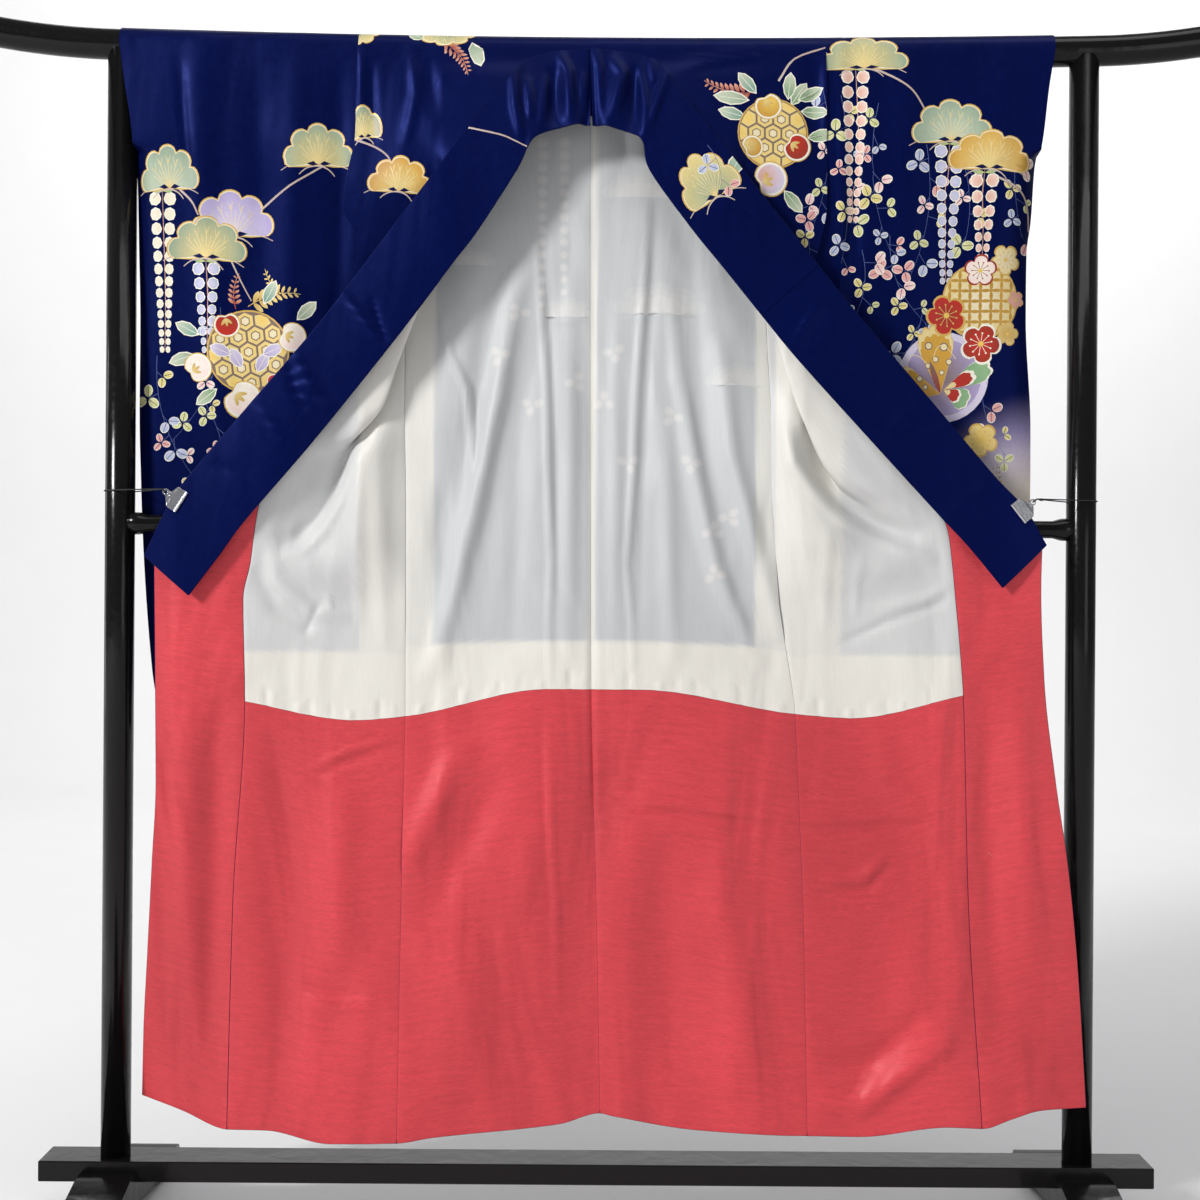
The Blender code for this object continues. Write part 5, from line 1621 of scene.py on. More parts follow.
def build_body(side):
    name = SIDE_NAMES[side]
    front = FRONT_CURVES[side].point
    levels = levels_between(HEM_Z, SHOULDER_Z)
    turns = [i / OVER_BAR_ROWS for i in range(1, OVER_BAR_ROWS)]

    def on_back(across, level):
        return back_point(side, across, level)

    def over(across, turn):
        return over_bar_point(side, across, turn)

    def on_front(across, level):
        return front(1 - across, level)

    upper = levels_between(SHOULDER_Z, BODY_PATTERN_END_Z)
    lower = levels_between(BODY_PATTERN_END_Z - STEP, SKIRT_PATTERN_TOP_Z)
    skirt = levels_between(SKIRT_PATTERN_TOP_Z - STEP, HEM_Z)
    back_art = hem_and_back(side, True)
    runs = [
        Run(surface(on_back, BODY_ACROSS, levels), -1, BACK_CREASES, back_art),
        Run(surface(over, BODY_ACROSS, turns[:OVER_BAR_ROWS // 2])),
        Run(surface(over, BODY_ACROSS, turns[OVER_BAR_ROWS // 2:]) + surface(on_front, BODY_ACROSS, upper),
            -1, FRONT_CREASES[side], body_front_left() if side == LEFT else body_front_right()),
        Run(surface(on_front, BODY_ACROSS, lower), -1, FRONT_CREASES[side]),
        Run(surface(on_front, BODY_ACROSS, skirt), -1, FRONT_CREASES[side], hem_and_back(side, False)),
    ]
    made = cloth(f"kimono_body_{name}", runs, FINISHES["silk"], side == LEFT, SILK_FACE,
                 ("first", "last", "start", "finish"), chunks=3)
    dress(made, f"body_{name}")


def build_overlap(side):
    name = SIDE_NAMES[side]
    place = OVERLAP_CURVES[side].point
    upper = levels_between(OVERLAP_TOP_Z, SKIRT_PATTERN_TOP_Z)
    lower = levels_between(SKIRT_PATTERN_TOP_Z - STEP, HEM_Z)
    runs = [Run(surface(place, OVERLAP_ACROSS, upper), -1, FRONT_CREASES[side]),
            Run(surface(place, OVERLAP_ACROSS, lower), -1, FRONT_CREASES[side], hem_and_back(side, False))]
    made = cloth(f"kimono_overlap_{name}", runs, FINISHES["silk"], side == RIGHT, SILK_FACE,
                 ("first", "last", "finish"), chunks=2)
    dress(made, f"overlap_{name}")


def build_sleeve(side):
    name = SIDE_NAMES[side]
    sleeve = SLEEVE_CURVES[side]
    levels = levels_between(SLEEVE_BOTTOM_Z, SHOULDER_Z)
    turns = [i / OVER_BAR_ROWS for i in range(1, OVER_BAR_ROWS)]

    def on_back(across, level):
        return sleeve.place(across, level, True)

    def on_front(across, level):
        return sleeve.place(across, level, False)

    art = sleeve_front_left() if side == LEFT else sleeve_front_right()
    upper = levels_between(SHOULDER_Z, SLEEVE_PATTERN_END_Z)
    lower = levels_between(SLEEVE_PATTERN_END_Z - STEP, SLEEVE_BOTTOM_Z)
    runs = [
        Run(surface(on_back, SLEEVE_ACROSS, levels), 1, SLEEVE_BACK_FOLDS[side], sleeve_rear(side)),
        Run(surface(sleeve.over_bar, SLEEVE_ACROSS, turns[:OVER_BAR_ROWS // 2])),
        Run(surface(sleeve.over_bar, SLEEVE_ACROSS, turns[OVER_BAR_ROWS // 2:])
            + surface(on_front, SLEEVE_ACROSS, upper), -1, SLEEVE_FOLDS[side], art),
        Run(surface(on_front, SLEEVE_ACROSS, lower), -1, SLEEVE_FOLDS[side]),
    ]
    ground = right_sleeve_ground if side == RIGHT else None
    made = cloth(f"kimono_sleeve_{name}", runs, FINISHES["silk"], side == LEFT, SILK_FACE, ("first",),
                 ground=ground, chunks=2)
    dress(made, f"sleeve_{name}")


def right_sleeve_ground(x, z):
    """The pale cloud dyed into the right sleeve's lower outer part."""
    (middle_x, middle_z), (reach_x, reach_z) = CLOUD_CENTRE, CLOUD_REACH
    cloud = np.clip(CLOUD_CORE - np.hypot((x - middle_x) / reach_x, (z - middle_z) / reach_z), 0, 1)
    cloud = cloud * cloud * (3 - 2 * cloud)
    high = np.clip((z - 1040) / 120, 0, 1)[:, None]
    tint = np.array(LAVENDER) * high + np.array(CREAM) * (1 - high)
    return np.concatenate([tint, cloud[:, None] * CLOUD_COVER], 1)


def build_collar(side):
    name = SIDE_NAMES[side]
    place = COLLAR_CURVES[side].point
    alongs = spaced(0.0, 1.0, STEP / 0.90)
    rows = [[place(along, across) for across in COLLAR_ACROSS] for along in alongs]
    made = cloth(f"kimono_collar_{name}", [Run(rows, -1, COLLAR_FOLDS[side], collar_art(side))],
                 FINISHES["silk"], side == RIGHT, COLLAR_THICKNESS, ("first", "last", "finish"), 0.0012)
    dress(made, f"collar_{name}")
    spans = len(COLLARS[side]) - 1
    covered = [row for row, along in zip(rows, alongs) if along * spans < OVER_COLLAR_END_ROW]
    made = cloth(f"kimono_over_collar_{name}", [Run(covered, -1, COLLAR_FOLDS[side], collar_art(side))],
                 FINISHES["silk"], side == RIGHT, COLLAR_THICKNESS + SEAM_GAP + 0.0006,
                 ("first", "last", "finish"), 0.0009)
    dress(made, f"over_collar_{name}")


def collar_art(side):
    art = Art()
    if side == LEFT:
        branch(art, [(-196, 1584), (-150, 1574), (-130, 1566), (-102, 1552)], 2.6)
    else:
        leaf(art, Spot(180, 1512, -0.5), 46, 12, Dye(TEAL, PALE_SAGE))
        pine(art, Spot(164, 1484, 0.55), 46, 66, STRAW, SAGE)
        clover_spray(art, (150, 1560), (170, 1500), 0.1, 3, 12, 1)
    return art


def fanned(place, columns, edge, end_level):
    """Rows between a panel's edge row, a list of levels by column, and an end level."""
    longest = max(abs(level - end_level) for level in edge)
    count = ceil(longest / STEP)
    return [[place(across, mix(level, end_level, i / count)) for across, level in zip(columns, edge)]
            for i in range(count + 1)]


def joint_of(place, columns, gap):
    """The level of the join between the white and the red lining at each column of a panel."""
    levels = []
    for across in columns:
        level = JOINT_START_Z
        for _ in range(JOINT_ROUNDS):
            x = place(across, level).x
            level = level_of(x, lining_joint(x) + gap)
        levels.append(level)
    return levels


def puckers(side, near, far):
    """Small gathers where the white lining is sewn to the red one, as the thread draws it up."""
    gathers = []
    for i in range(round((far - near) / PUCKER_SPACING)):
        x = side * (near + PUCKER_SPACING * i + 5 * sin(2.7 * i))
        z = lining_joint(x * MM) / MM
        height = (1.3 + 0.9 * sin(1.9 * i)) * (-1) ** i
        gathers.append(Fold(((x, z - 2), (x + 3 * sin(3.3 * i), z + 22 + 9 * sin(1.3 * i))), 4.5, height))
    return tuple(gathers)


def build_linings(side):
    name = SIDE_NAMES[side]
    front = FRONT_CURVES[side].point

    def on_back(across, level):
        return back_point(side, across, level)

    def on_front(across, level):
        return front(1 - across, level)

    gap = SEAM_GAP / 2
    faces_in = side == RIGHT
    for node_name, place, columns, top, folds in (
            ("back", on_back, BODY_ACROSS, LINING_TOP_Z, BACK_CREASES),
            ("front", on_front, BODY_ACROSS, FRONT_LINING_TOP_Z, FRONT_CREASES[side])):
        joint = joint_of(place, columns, gap)
        rows = fanned(place, columns, joint, top)
        if node_name == "back":
            runs = [Run(rows, -1, folds + puckers(side, 24, 276), back_lining_art())]
            ground = back_lining_ground
        else:
            runs = [Run(rows[::-1], -1, folds + puckers(side, 300, 512))]
            ground = front_lining_ground
        made = cloth(f"kimono_{node_name}_lining_{name}", runs, FINISHES["white"], faces_in, LINING_FACE,
                     ("first", "last"), ground=ground, chunks=2, roll=LINING_ROLL, dip=SEAM_DIP)
        dress(made, f"{node_name}_lining_{name}")
        joint = joint_of(place, columns, -gap)
        rows = fanned(place, columns, joint, HEM_Z)
        rows = rows if node_name == "front" else rows[::-1]
        made = cloth(f"kimono_{node_name}_hem_lining_{name}", [Run(rows, -1, folds)], FINISHES["red"],
                     faces_in, LINING_FACE, ("first", "last", "finish" if node_name == "front" else "start"),
                     chunks=2, roll=LINING_ROLL, dip=SEAM_DIP)
        dress(made, f"{node_name}_hem_lining_{name}")
    place = OVERLAP_CURVES[side].point
    levels = levels_between(OVERLAP_LINING_TOP_Z, HEM_Z)
    made = cloth(f"kimono_overlap_lining_{name}",
                 [Run(surface(place, OVERLAP_ACROSS, levels), -1, FRONT_CREASES[side])],
                 FINISHES["red"], side == LEFT, LINING_FACE, ("first", "last", "finish"), chunks=2,
                 roll=LINING_ROLL, dip=SEAM_DIP)
    dress(made, f"overlap_lining_{name}")


def band(value, start, end, soft):
    """1 between start and end, falling to 0 outside them over a soft edge."""
    return np.clip((value - start) / soft + 0.5, 0, 1) * np.clip((end - value) / soft + 0.5, 0, 1)


SEEN_THROUGH = np.array(tone(194, 197, 199))
# The same see-through grey painted lighter for the front linings than for the back lining: painted light.
SEEN_THROUGH_PAINTED_LIGHTER = np.array(tone(208, 209, 209))
DOUBLED = np.array(tone(229, 227, 219))


def lining_ground(x, z, clear, single=SEEN_THROUGH):
    """The blue cloth shows through a single white lining as grey. clear is where more layers hide it."""
    share = np.clip(1 - clear, 0, 1)[:, None]
    tint = single * share + DOUBLED * (1 - share)
    return np.concatenate([tint, np.ones((len(x), 1))], 1)


def back_lining_ground(x, z):
    above_band = 838 - 0.00012 * (x + 10) ** 2
    clear = np.clip((above_band + 10 - z) / 6, 0, 1)
    clear = np.maximum(clear, band(x, -18, -8, 3) * 0.8)
    clear = np.maximum(clear, band(x, -292, -244, 4) * 0.75)
    clear = np.maximum(clear, band(x, 226, 300, 4) * 0.75)
    return lining_ground(x, z, clear)


def front_lining_ground(x, z):
    clear = np.clip((830 - z) / 6, 0, 1)
    clear = np.maximum(clear, band(np.abs(x), 255, 350, 4) * 0.75)
    # The front linings take the paler grey: painted light on them compared with the back lining.
    return lining_ground(x, z, clear, SEEN_THROUGH_PAINTED_LIGHTER)


def back_lining_art():
    """The back's pattern, seen faintly through the lining."""
    art = Art()
    pale = tone(226, 222, 218)

    def ghost(spot, shape, size):
        for grown, cover in ((1.25, 0.16), (1.0, 0.32), (0.74, 0.50)):
            art.patch(spot, [(a * grown, b * grown) for a, b in shape], Dye(pale, pale, cover), (0, 0),
                      size)

    for x, top, length in ((-88, 1590, 262), (-57, 1590, 262)):
        for i in range(14):
            t = (i + 0.5) / 14
            size = 17 * (1 - 0.40 * t)
            shape = [(size * (a - 0.5), size * 0.9 * b) for a, b in PETAL]
            ghost(Spot(x, top - length * t, 0, 1, -1 if x < -70 else 1), shape, size)
    for a, b, size in ((54, 1500, 46), (84, 1325, 56), (200, 1220, 40), (-192, 1396, 30), (-50, 1320, 34)):
        ghost(Spot(a, b), scallops(size, size * 0.6, 5, 0), size)
    for i, (a, b) in enumerate(((-122, 1325), (-101, 1188), (19, 1266), (-37, 1223), (4, 1195), (103, 1173),
                                (131, 1104), (40, 1104), (188, 1026), (163, 1006), (166, 943),
                                (-150, 1260))):
        for turn in (0.4 * i, 0.4 * i + 2.2, 0.4 * i + 4.0):
            ghost(Spot(a + 10 * cos(turn), b + 8 * sin(turn), turn), disc(7.5, 9, 0, 0, 0.8), 9)
    return art


SLEEVE_FOLDS = {
    LEFT: (Fold(((-616, 1690), (-612, 1620), (-600, 1500)), 6, -3.0),
           Fold(((-590, 1740), (-580, 1400), (-560, 1100)), 24, 5.5),
           Fold(((-505, 1690), (-500, 1350)), 20, -4.0),
           Fold(((-440, 1740), (-460, 1300), (-490, 1000)), 22, 5.5),
           Fold(((-384, 1690), (-388, 1250)), 16, -6.0)),
    RIGHT: (Fold(((345, 1735), (350, 1500), (348, 1300)), 6, 4.0),
            Fold(((364, 1690), (370, 1300)), 12, -5.5),
            Fold(((440, 1740), (450, 1400), (470, 1100)), 24, 5.5),
            Fold(((512, 1690), (525, 1350)), 20, -4.0),
            Fold(((584, 1740), (575, 1300), (560, 1000)), 20, 5.0)),
}
SLEEVE_BACK_FOLDS = {LEFT: (Fold(((-520, 1740), (-500, 1100)), 30, 3.0),
                            Fold(((-430, 1690), (-450, 900)), 24, -3.0)),
                     RIGHT: (Fold(((500, 1740), (480, 1100)), 30, 3.0),
                             Fold(((580, 1690), (570, 900)), 24, -3.0))}
COLLAR_FOLDS = {
    LEFT: (Fold(((-131, 1680), (-127, 1618), (-116, 1565)), 6.5, 6.0),
           Fold(((-110, 1662), (-103, 1596)), 6, 4.5),
           Fold(((-84, 1666), (-90, 1580)), 5, 4.0), Fold(((-71, 1680), (-70, 1585)), 10, -7.5),
           Fold(((-66, 1706), (-51, 1669), (-48, 1595)), 7, 6.5), Fold(((-30, 1670), (-29, 1595)), 5, 4.0),
           Fold(((-18, 1712), (-18, 1588)), 6, -5.5),
           Fold(((-384, 1354), (-360, 1327), (-315, 1274)), 4.5, 3.4),
           Fold(((-332, 1337), (-319, 1295), (-308, 1270)), 5, -3.0),
           Fold(((-443, 1260), (-421, 1215), (-384, 1168)), 4.5, 3.2),
           Fold(((-453, 1248), (-439, 1202), (-421, 1168)), 5, -3.2),
           Fold(((-500, 1190), (-476, 1160), (-452, 1120)), 6, 2.4),
           Fold(((-560, 1100), (-520, 1085), (-480, 1050)), 8, -2.4)),
    RIGHT: (Fold(((-13, 1712), (-6, 1677), (-4, 1590)), 6, 6.0),
            Fold(((10, 1696), (28, 1667), (14, 1596)), 7.5, 6.5),
            Fold(((45, 1680), (43, 1575)), 10, -7.5), Fold(((52, 1684), (61, 1618), (57, 1570)), 5, 4.5),
            Fold(((94, 1674), (74, 1614), (60, 1566)), 6, 6.0), Fold(((70, 1700), (74, 1650)), 6, 4.0),
            Fold(((316, 1336), (294, 1306), (272, 1268)), 4.5, 3.4),
            Fold(((334, 1320), (306, 1290), (286, 1252)), 6, -3.0),
            Fold(((378, 1284), (360, 1250), (338, 1214)), 4.5, 3.2),
            Fold(((405, 1222), (378, 1200), (350, 1180)), 5, 3.0),
            Fold(((485, 1178), (450, 1156), (410, 1128)), 5, 3.0),
            Fold(((460, 1194), (434, 1168), (404, 1134)), 6, -3.2),
            Fold(((560, 1070), (520, 1050), (492, 1020)), 8, -2.4)),
}
BACK_CREASES = (
    Fold(((-14, 1600), (-13, 1200), (-10, 700), (0, 170)), 4, -3.5),
    Fold(((66, 1500), (63, 1397), (57, 1305), (50, 1197), (47, 1089), (39, 954), (47, 874), (50, 760)), 5,
         5.0),
    Fold(((79, 1500), (71, 1305), (62, 1089), (58, 874)), 8, -3.5),
    Fold(((-103, 1480), (-90, 1359), (-80, 1224), (-77, 1089), (-71, 954), (-74, 874), (-71, 760)), 5, 4.5),
    Fold(((-89, 1480), (-77, 1300), (-64, 1089), (-60, 900)), 7, -3.0),
    Fold(((-236, 1320), (-222, 1262), (-197, 1214), (-190, 1150), (-189, 1080)), 5, 6.0),
    Fold(((-183, 1225), (-179, 1150), (-181, 1080)), 6, -4.0),
    Fold(((105, 1500), (130, 1400), (141, 1250), (163, 1089), (195, 954), (228, 845)), 17, -6.0),
    Fold(((170, 1300), (190, 1116), (222, 1000), (264, 845)), 14, 12.0),
    Fold(((98, 1380), (114, 1230), (138, 1089), (168, 954), (236, 800)), 12, 10.0),
    Fold(((-116, 1400), (-132, 1331), (-152, 1197), (-184, 1036), (-216, 900), (-250, 780)), 15, 14.0),
    Fold(((-160, 1400), (-186, 1200), (-226, 1036), (-264, 850)), 18, -5.5),
    Fold(((-114, 1250), (-122, 1000), (-128, 820)), 15, -4.5),
    Fold(((-46, 1400), (-44, 1100), (-46, 800)), 13, 6.5),
    Fold(((20, 1350), (22, 1000), (22, 800)), 11, 5.0), Fold(((90, 1230), (98, 1000), (108, 800)), 14, 7.0),
    Fold(((30, 1318), (80, 1322), (115, 1317)), 4.5, 2.0),
    Fold(((-92, 1317), (-55, 1312), (-20, 1316)), 4.5, 1.8),
    Fold(((-74, 743), (-70, 606), (-61, 469), (-57, 300)), 5, 2.8),
    Fold(((-85, 743), (-81, 606), (-72, 469)), 6, -2.2),
    Fold(((-284, 500), (-240, 600), (-190, 705)), 22, 11.0),
    Fold(((-258, 420), (-200, 540), (-140, 660)), 24, -8.0),
    Fold(((15, 632), (57, 613), (110, 606), (175, 599), (288, 582)), 5, 3.2),
    Fold(((15, 618), (60, 600), (175, 586), (286, 569)), 7, -2.8),
    Fold(((180, 560), (200, 400), (212, 180)), 34, 12.0),
    Fold(((90, 560), (100, 400), (110, 200)), 30, -8.0),
    Fold(((-180, 420), (-190, 300), (-200, 170)), 38, 10.0),
)
FRONT_CREASES = {
    LEFT: (Fold(((-352, 1712), (-352, 1606)), 5.5, 4.0), Fold(((-338, 1690), (-334, 1560)), 8, -3.5),
           Fold(((-280, 1715), (-272, 1640), (-287, 1560)), 8, 3.5),
           Fold(((-254, 1690), (-244, 1600)), 12, -4.5),
           Fold(((-340, 1180), (-364, 1094), (-379, 1043), (-402, 1003), (-431, 973), (-462, 966)), 9, 8.0),
           Fold(((-372, 1120), (-394, 1058), (-412, 1022), (-444, 990), (-470, 982)), 11, -9.0),
           Fold(((-480, 990), (-470, 930), (-418, 884), (-360, 876)), 11, 5.5),
           Fold(((-500, 950), (-470, 890), (-410, 856)), 13, -5.5),
           Fold(((-392, 912), (-394, 900), (-388, 886)), 4.5, 3.5),
           Fold(((-405, 900), (-431, 850)), 5, -3.5),
           Fold(((-348, 1120), (-352, 1000), (-350, 860)), 7, 3.5),
           Fold(((-322, 1150), (-318, 1000), (-314, 820)), 12, 4.0),
           Fold(((-425, 652), (-366, 681), (-293, 703)), 6, 3.0),
           Fold(((-425, 640), (-366, 667), (-293, 690)), 9, -3.0),
           Fold(((-428, 342), (-380, 330), (-336, 322)), 11, -4.0),
           Fold(((-428, 322), (-380, 310), (-340, 304)), 10, 3.5),
           Fold(((-372, 640), (-380, 500), (-378, 360)), 26, 9.0),
           Fold(((-450, 700), (-462, 450), (-455, 200)), 32, -7.0),
           Fold(((-590, 760), (-600, 500), (-610, 260)), 22, 8.0),
           Fold(((-552, 800), (-556, 500), (-562, 220)), 18, -6.0)),
    RIGHT: (Fold(((322, 1712), (324, 1556)), 5.5, 4.0), Fold(((302, 1690), (304, 1560)), 10, -4.0),
            Fold(((100, 1672), (160, 1690), (228, 1703)), 7, 3.5),
            Fold(((258, 1170), (281, 1100), (315, 1056), (348, 1023), (392, 1000), (439, 980), (490, 966)),
                 10, 8.5),
            Fold(((286, 1160), (315, 1086), (344, 1048), (392, 1022), (436, 1007), (480, 1000)), 13, -10.0),
            Fold(((338, 1110), (405, 1058), (462, 1010)), 16, 5.0),
            Fold(((508, 916), (488, 900), (418, 876), (340, 838)), 7, -4.0),
            Fold(((508, 930), (470, 908), (400, 892)), 8, 4.0),
            Fold(((330, 1020), (326, 940), (330, 860)), 8, 3.0),
            Fold(((380, 980), (372, 930), (372, 880)), 6, 2.5),
            Fold(((296, 584), (345, 587), (420, 592), (500, 596)), 5, 3.2),
            Fold(((296, 570), (345, 573), (480, 580)), 8, -3.2),
            Fold(((320, 494), (388, 504), (420, 538)), 9, 3.5),
            Fold(((318, 480), (392, 486), (430, 524)), 9, -3.0),
            Fold(((312, 176), (388, 174), (459, 229), (525, 282)), 16, 9.0),
            Fold(((320, 230), (400, 236), (500, 320)), 18, -8.0),
            Fold(((400, 760), (420, 640), (500, 560)), 20, 4.0), Fold(((549, 222), (602, 192)), 12, 3.5),
            Fold(((560, 800), (566, 560), (584, 260)), 18, -8.0),
            Fold(((604, 800), (616, 560), (640, 260)), 18, 8.0)),
}


def solid_from_curve(line, finish):
    """A mesh piece made of a curve, in place of the curve."""
    holder = bpy.data.objects.new(line.name, line)
    mesh = bpy.data.meshes.new_from_object(holder)
    name = line.name
    bpy.data.objects.remove(holder, do_unlink=True)
    bpy.data.curves.remove(line)
    solid = bmesh.new()
    solid.from_mesh(mesh)
    bmesh.ops.remove_doubles(solid, verts=solid.verts, dist=0.00001)
    bmesh.ops.recalc_face_normals(solid, faces=solid.faces)
    solid.to_mesh(mesh)
    solid.free()
    mesh.materials.clear()
    return add_piece(name, mesh, finish)


def add_spline(line, points, cyclic):
    spline = line.splines.new("POLY")
    spline.points.add(len(points) - 1)
    for made, point in zip(spline.points, points):
        made.co = (*point, 1.0)
    spline.use_cyclic_u = cyclic
    return spline


def tube(name, points, radius, sides, finish, cyclic=False, swell=None):
    """A round line through points. swell gives the radius factor at each point."""
    line = bpy.data.curves.new(name, "CURVE")
    line.dimensions = "3D"
    line.bevel_depth = radius
    line.bevel_resolution = (sides - 4) // 2
    line.use_fill_caps = not cyclic
    spline = add_spline(line, points, cyclic)
    for made, factor in zip(spline.points, swell or ()):
        made.radius = factor
    return solid_from_curve(line, finish)


def flat_shape(name, outlines, half_thickness, finish):
    """A plate of flat outlines in metres, a later outline inside the first being a hole."""
    line = bpy.data.curves.new(name, "CURVE")
    line.dimensions = "2D"
    line.fill_mode = "BOTH"
    line.extrude = half_thickness
    for outline in outlines:
        add_spline(line, [(a, b, 0.0) for a, b in outline], True)
    return solid_from_curve(line, finish)


def softened(made, width, segments):
    """Rounds the sharp edges of a piece and shades it smooth between them."""
    edge = made.modifiers.new("Edge", "BEVEL")
    edge.width = width
    edge.segments = segments
    edge.limit_method = "ANGLE"
    edge.angle_limit = radians(32)
    edge.harden_normals = True
    made.data.shade_smooth()
    return made


def turned(name, profile, sides, finish):
    """A round solid about its own Z axis. profile holds (radius, height) from one end to the other."""
    mesh = bpy.data.meshes.new(name)
    outline = [(0, 0, profile[0][1]), *((radius, 0, height) for radius, height in profile),
               (0, 0, profile[-1][1])]
    mesh.from_pydata(outline, [(i, i + 1) for i in range(len(outline) - 1)], [])
    made = add_piece(name, mesh, finish)
    turn = made.modifiers.new("Turn", "SCREW")
    turn.steps = sides
    turn.render_steps = sides
    turn.use_merge_vertices = True
    turn.merge_threshold = 0.00001
    turn.use_smooth_shade = True
    turn.use_normal_calculate = True
    return made


def in_metres(outline):
    return [(a * MM, b * MM) for a, b in outline]


def rode(made, *nodes):
    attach(made, "root")
    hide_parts(*nodes)
    return made


def build_stand():
    finish = FINISHES["lacquer"]
    ends = [(0.9985, 0.55), (0.9965, 0.80), (0.993, 0.95)]
    places = [-share * BAR_HALF_LENGTH for share, _ in ends] + spaced(-0.985 * BAR_HALF_LENGTH,
                                                                      0.985 * BAR_HALF_LENGTH, 0.018)
    places += [share * BAR_HALF_LENGTH for share, _ in reversed(ends)]
    swell = [size for _, size in ends] + [1.0] * (len(places) - 6) + [size for _, size in reversed(ends)]
    line = [(x, 0, BAR_CENTRE_Z + bar_rise(x)) for x in places]
    bar = tube("lacquered_top_bar", line, BAR_RADIUS, 48, finish, swell=swell)
    bar.data.shade_smooth()
    rode(bar, "top_bar")
    for side in (LEFT, RIGHT):
        name, x = SIDE_NAMES[side], side * POST_X
        post = turned(f"lacquered_post_{name}", [(POST_RADIUS, RAIL_TOP_Z), (POST_RADIUS, BAR_CENTRE_Z)],
                      64, finish)
        post.location = (x, 0, 0)
        rode(post, f"post_{name}")
        foot = flat_shape(f"lacquered_foot_{name}", [in_metres(FOOT_OUTLINE)], FOOT_WIDTH / 2, finish)
        foot.matrix_world = Matrix(((0, 0, 1, x), (1, 0, 0, 0), (0, 1, 0, 0), (0, 0, 0, 1)))
        rode(softened(foot, FOOT_EDGE, 4), f"foot_{name}")
    half = [(radius * MM, place * MM) for place, radius in MIDDLE_BAR_END]
    profile = half + [(radius, -place) for radius, place in reversed(half)]
    bar = turned("lacquered_middle_bar", profile, 48, finish)
    bar.matrix_world = Matrix.Translation((0, 0, MIDDLE_BAR_Z)) @ Matrix.Rotation(pi / 2, 4, "Y")
    rode(bar, "middle_bar")
    mesh = bpy.data.meshes.new("lacquered_base_rail")
    solid = bmesh.new()
    bmesh.ops.create_cube(solid, size=1.0,
                          matrix=Matrix.Diagonal((RAIL_LENGTH, RAIL_DEPTH, RAIL_HEIGHT, 1)))
    solid.to_mesh(mesh)
    solid.free()
    rail = add_piece("lacquered_base_rail", mesh, finish)
    rail.location = (0, 0, RAIL_TOP_Z - RAIL_HEIGHT / 2)
    rode(softened(rail, RAIL_EDGE, 4), "base_rail")


def jaw_width(inward):
    """Half the width of a clip's half, at a distance in from the collar's edge."""
    return float(np.interp(inward, [-14, -8, -3, 15], [4.5, 4.5, 16.5, 16.5]))


def build_clip(side):
    """A spring clip on the collar's outer edge, and the elastic loop that pulls it to the post."""
    name, clip = SIDE_NAMES[side], CLIPS[side]
    chrome = FINISHES["chrome"]
    edge = Vector((clip.x, clip.y, clip.z)) * MM
    inward = Vector((clip.inward[0], 0, clip.inward[1])).normalized()
    depth = Vector((0, 1, 0))
    along = inward.cross(depth)
    for jaw_name, towards in (("front", -1), ("back", 1)):
        solid = bmesh.new()
        loops = []
        for share in (-1, -0.94, 0.94, 1):
            loops.append([
                solid.verts.new(edge + (inward * n + depth * towards * off
                                        + along * share * jaw_width(n)) * MM)
                for n, off in JAW_OUTLINE])
        count = len(JAW_OUTLINE)
        for one, other in zip(loops, loops[1:]):
            for i in range(count):
                solid.faces.new([one[i], one[(i + 1) % count], other[(i + 1) % count], other[i]])
        for loop in (loops[0], loops[-1]):
            bmesh.ops.triangulate(solid, faces=[solid.faces.new(loop)])
        bmesh.ops.recalc_face_normals(solid, faces=solid.faces)
        mesh = bpy.data.meshes.new(f"spring_clip_{jaw_name}_{name}")
        solid.to_mesh(mesh)
        solid.free()
        jaw = add_piece(mesh.name, mesh, chrome)
        rode(softened(jaw, 0.0003, 2), f"clip_jaw_{jaw_name}_{name}")
    hole = [(RING_HOLE_AT + RING_HOLE_RADIUS * cos(turn), RING_HOLE_RADIUS * sin(turn))
            for turn in steps(0, 2 * pi, 32)[:-1]]
    ring = flat_shape(f"spring_clip_ring_{name}", [in_metres(RING_OUTLINE), in_metres(hole)],
                      RING_HALF_THICKNESS, chrome)
    ring.matrix_world = Matrix.Translation(edge) @ Matrix((inward, -along, depth)).transposed().to_4x4()
    rode(softened(ring, 0.0002, 2), f"clip_ring_{name}")

    loop = [edge + (inward * n + depth * off) * MM for n, off in TIE_AT_RING]
    start, end = loop[0], loop[-1]
    centre = Vector((side * POST_X, 0, start.z))
    reach = POST_RADIUS + TIE_RADIUS + FIT_GAP
    away = (start + end) / 2 - centre
    touch = acos(reach / Vector((away.x, away.y)).length)
    towards_ring = atan2(away.y, away.x)
    turns = steps(towards_ring + side * touch, towards_ring + side * (2 * pi - touch), 24)
    wrap = [centre + Vector((reach * cos(turn), reach * sin(turn), 0)) for turn in turns]
    if (wrap[0] - end).length > (wrap[-1] - end).length:
        wrap.reverse()
    knot = [mix(end, wrap[0], share) for share in KNOT_PLACES] if side == RIGHT else []
    at_knot = [KNOT_SWELL if 0 < i < 3 else 1.0 for i in range(len(knot))]
    swell = [1.0] * len(loop) + at_knot + [1.0] * len(wrap)
    tie = tube(f"elastic_loop_{name}", [*loop, *knot, *wrap], TIE_RADIUS, 12, FINISHES["elastic"],
               cyclic=True, swell=swell)
    tie.data.shade_smooth()
    rode(tie, f"tie_{name}")


# Stage
CAMERA_AT = (0.0, -2.40, 0.9045)
CAMERA_ROLL = radians(0.4)
CAMERA_FOCAL_PX = 1632
FRAME_PX = 1200

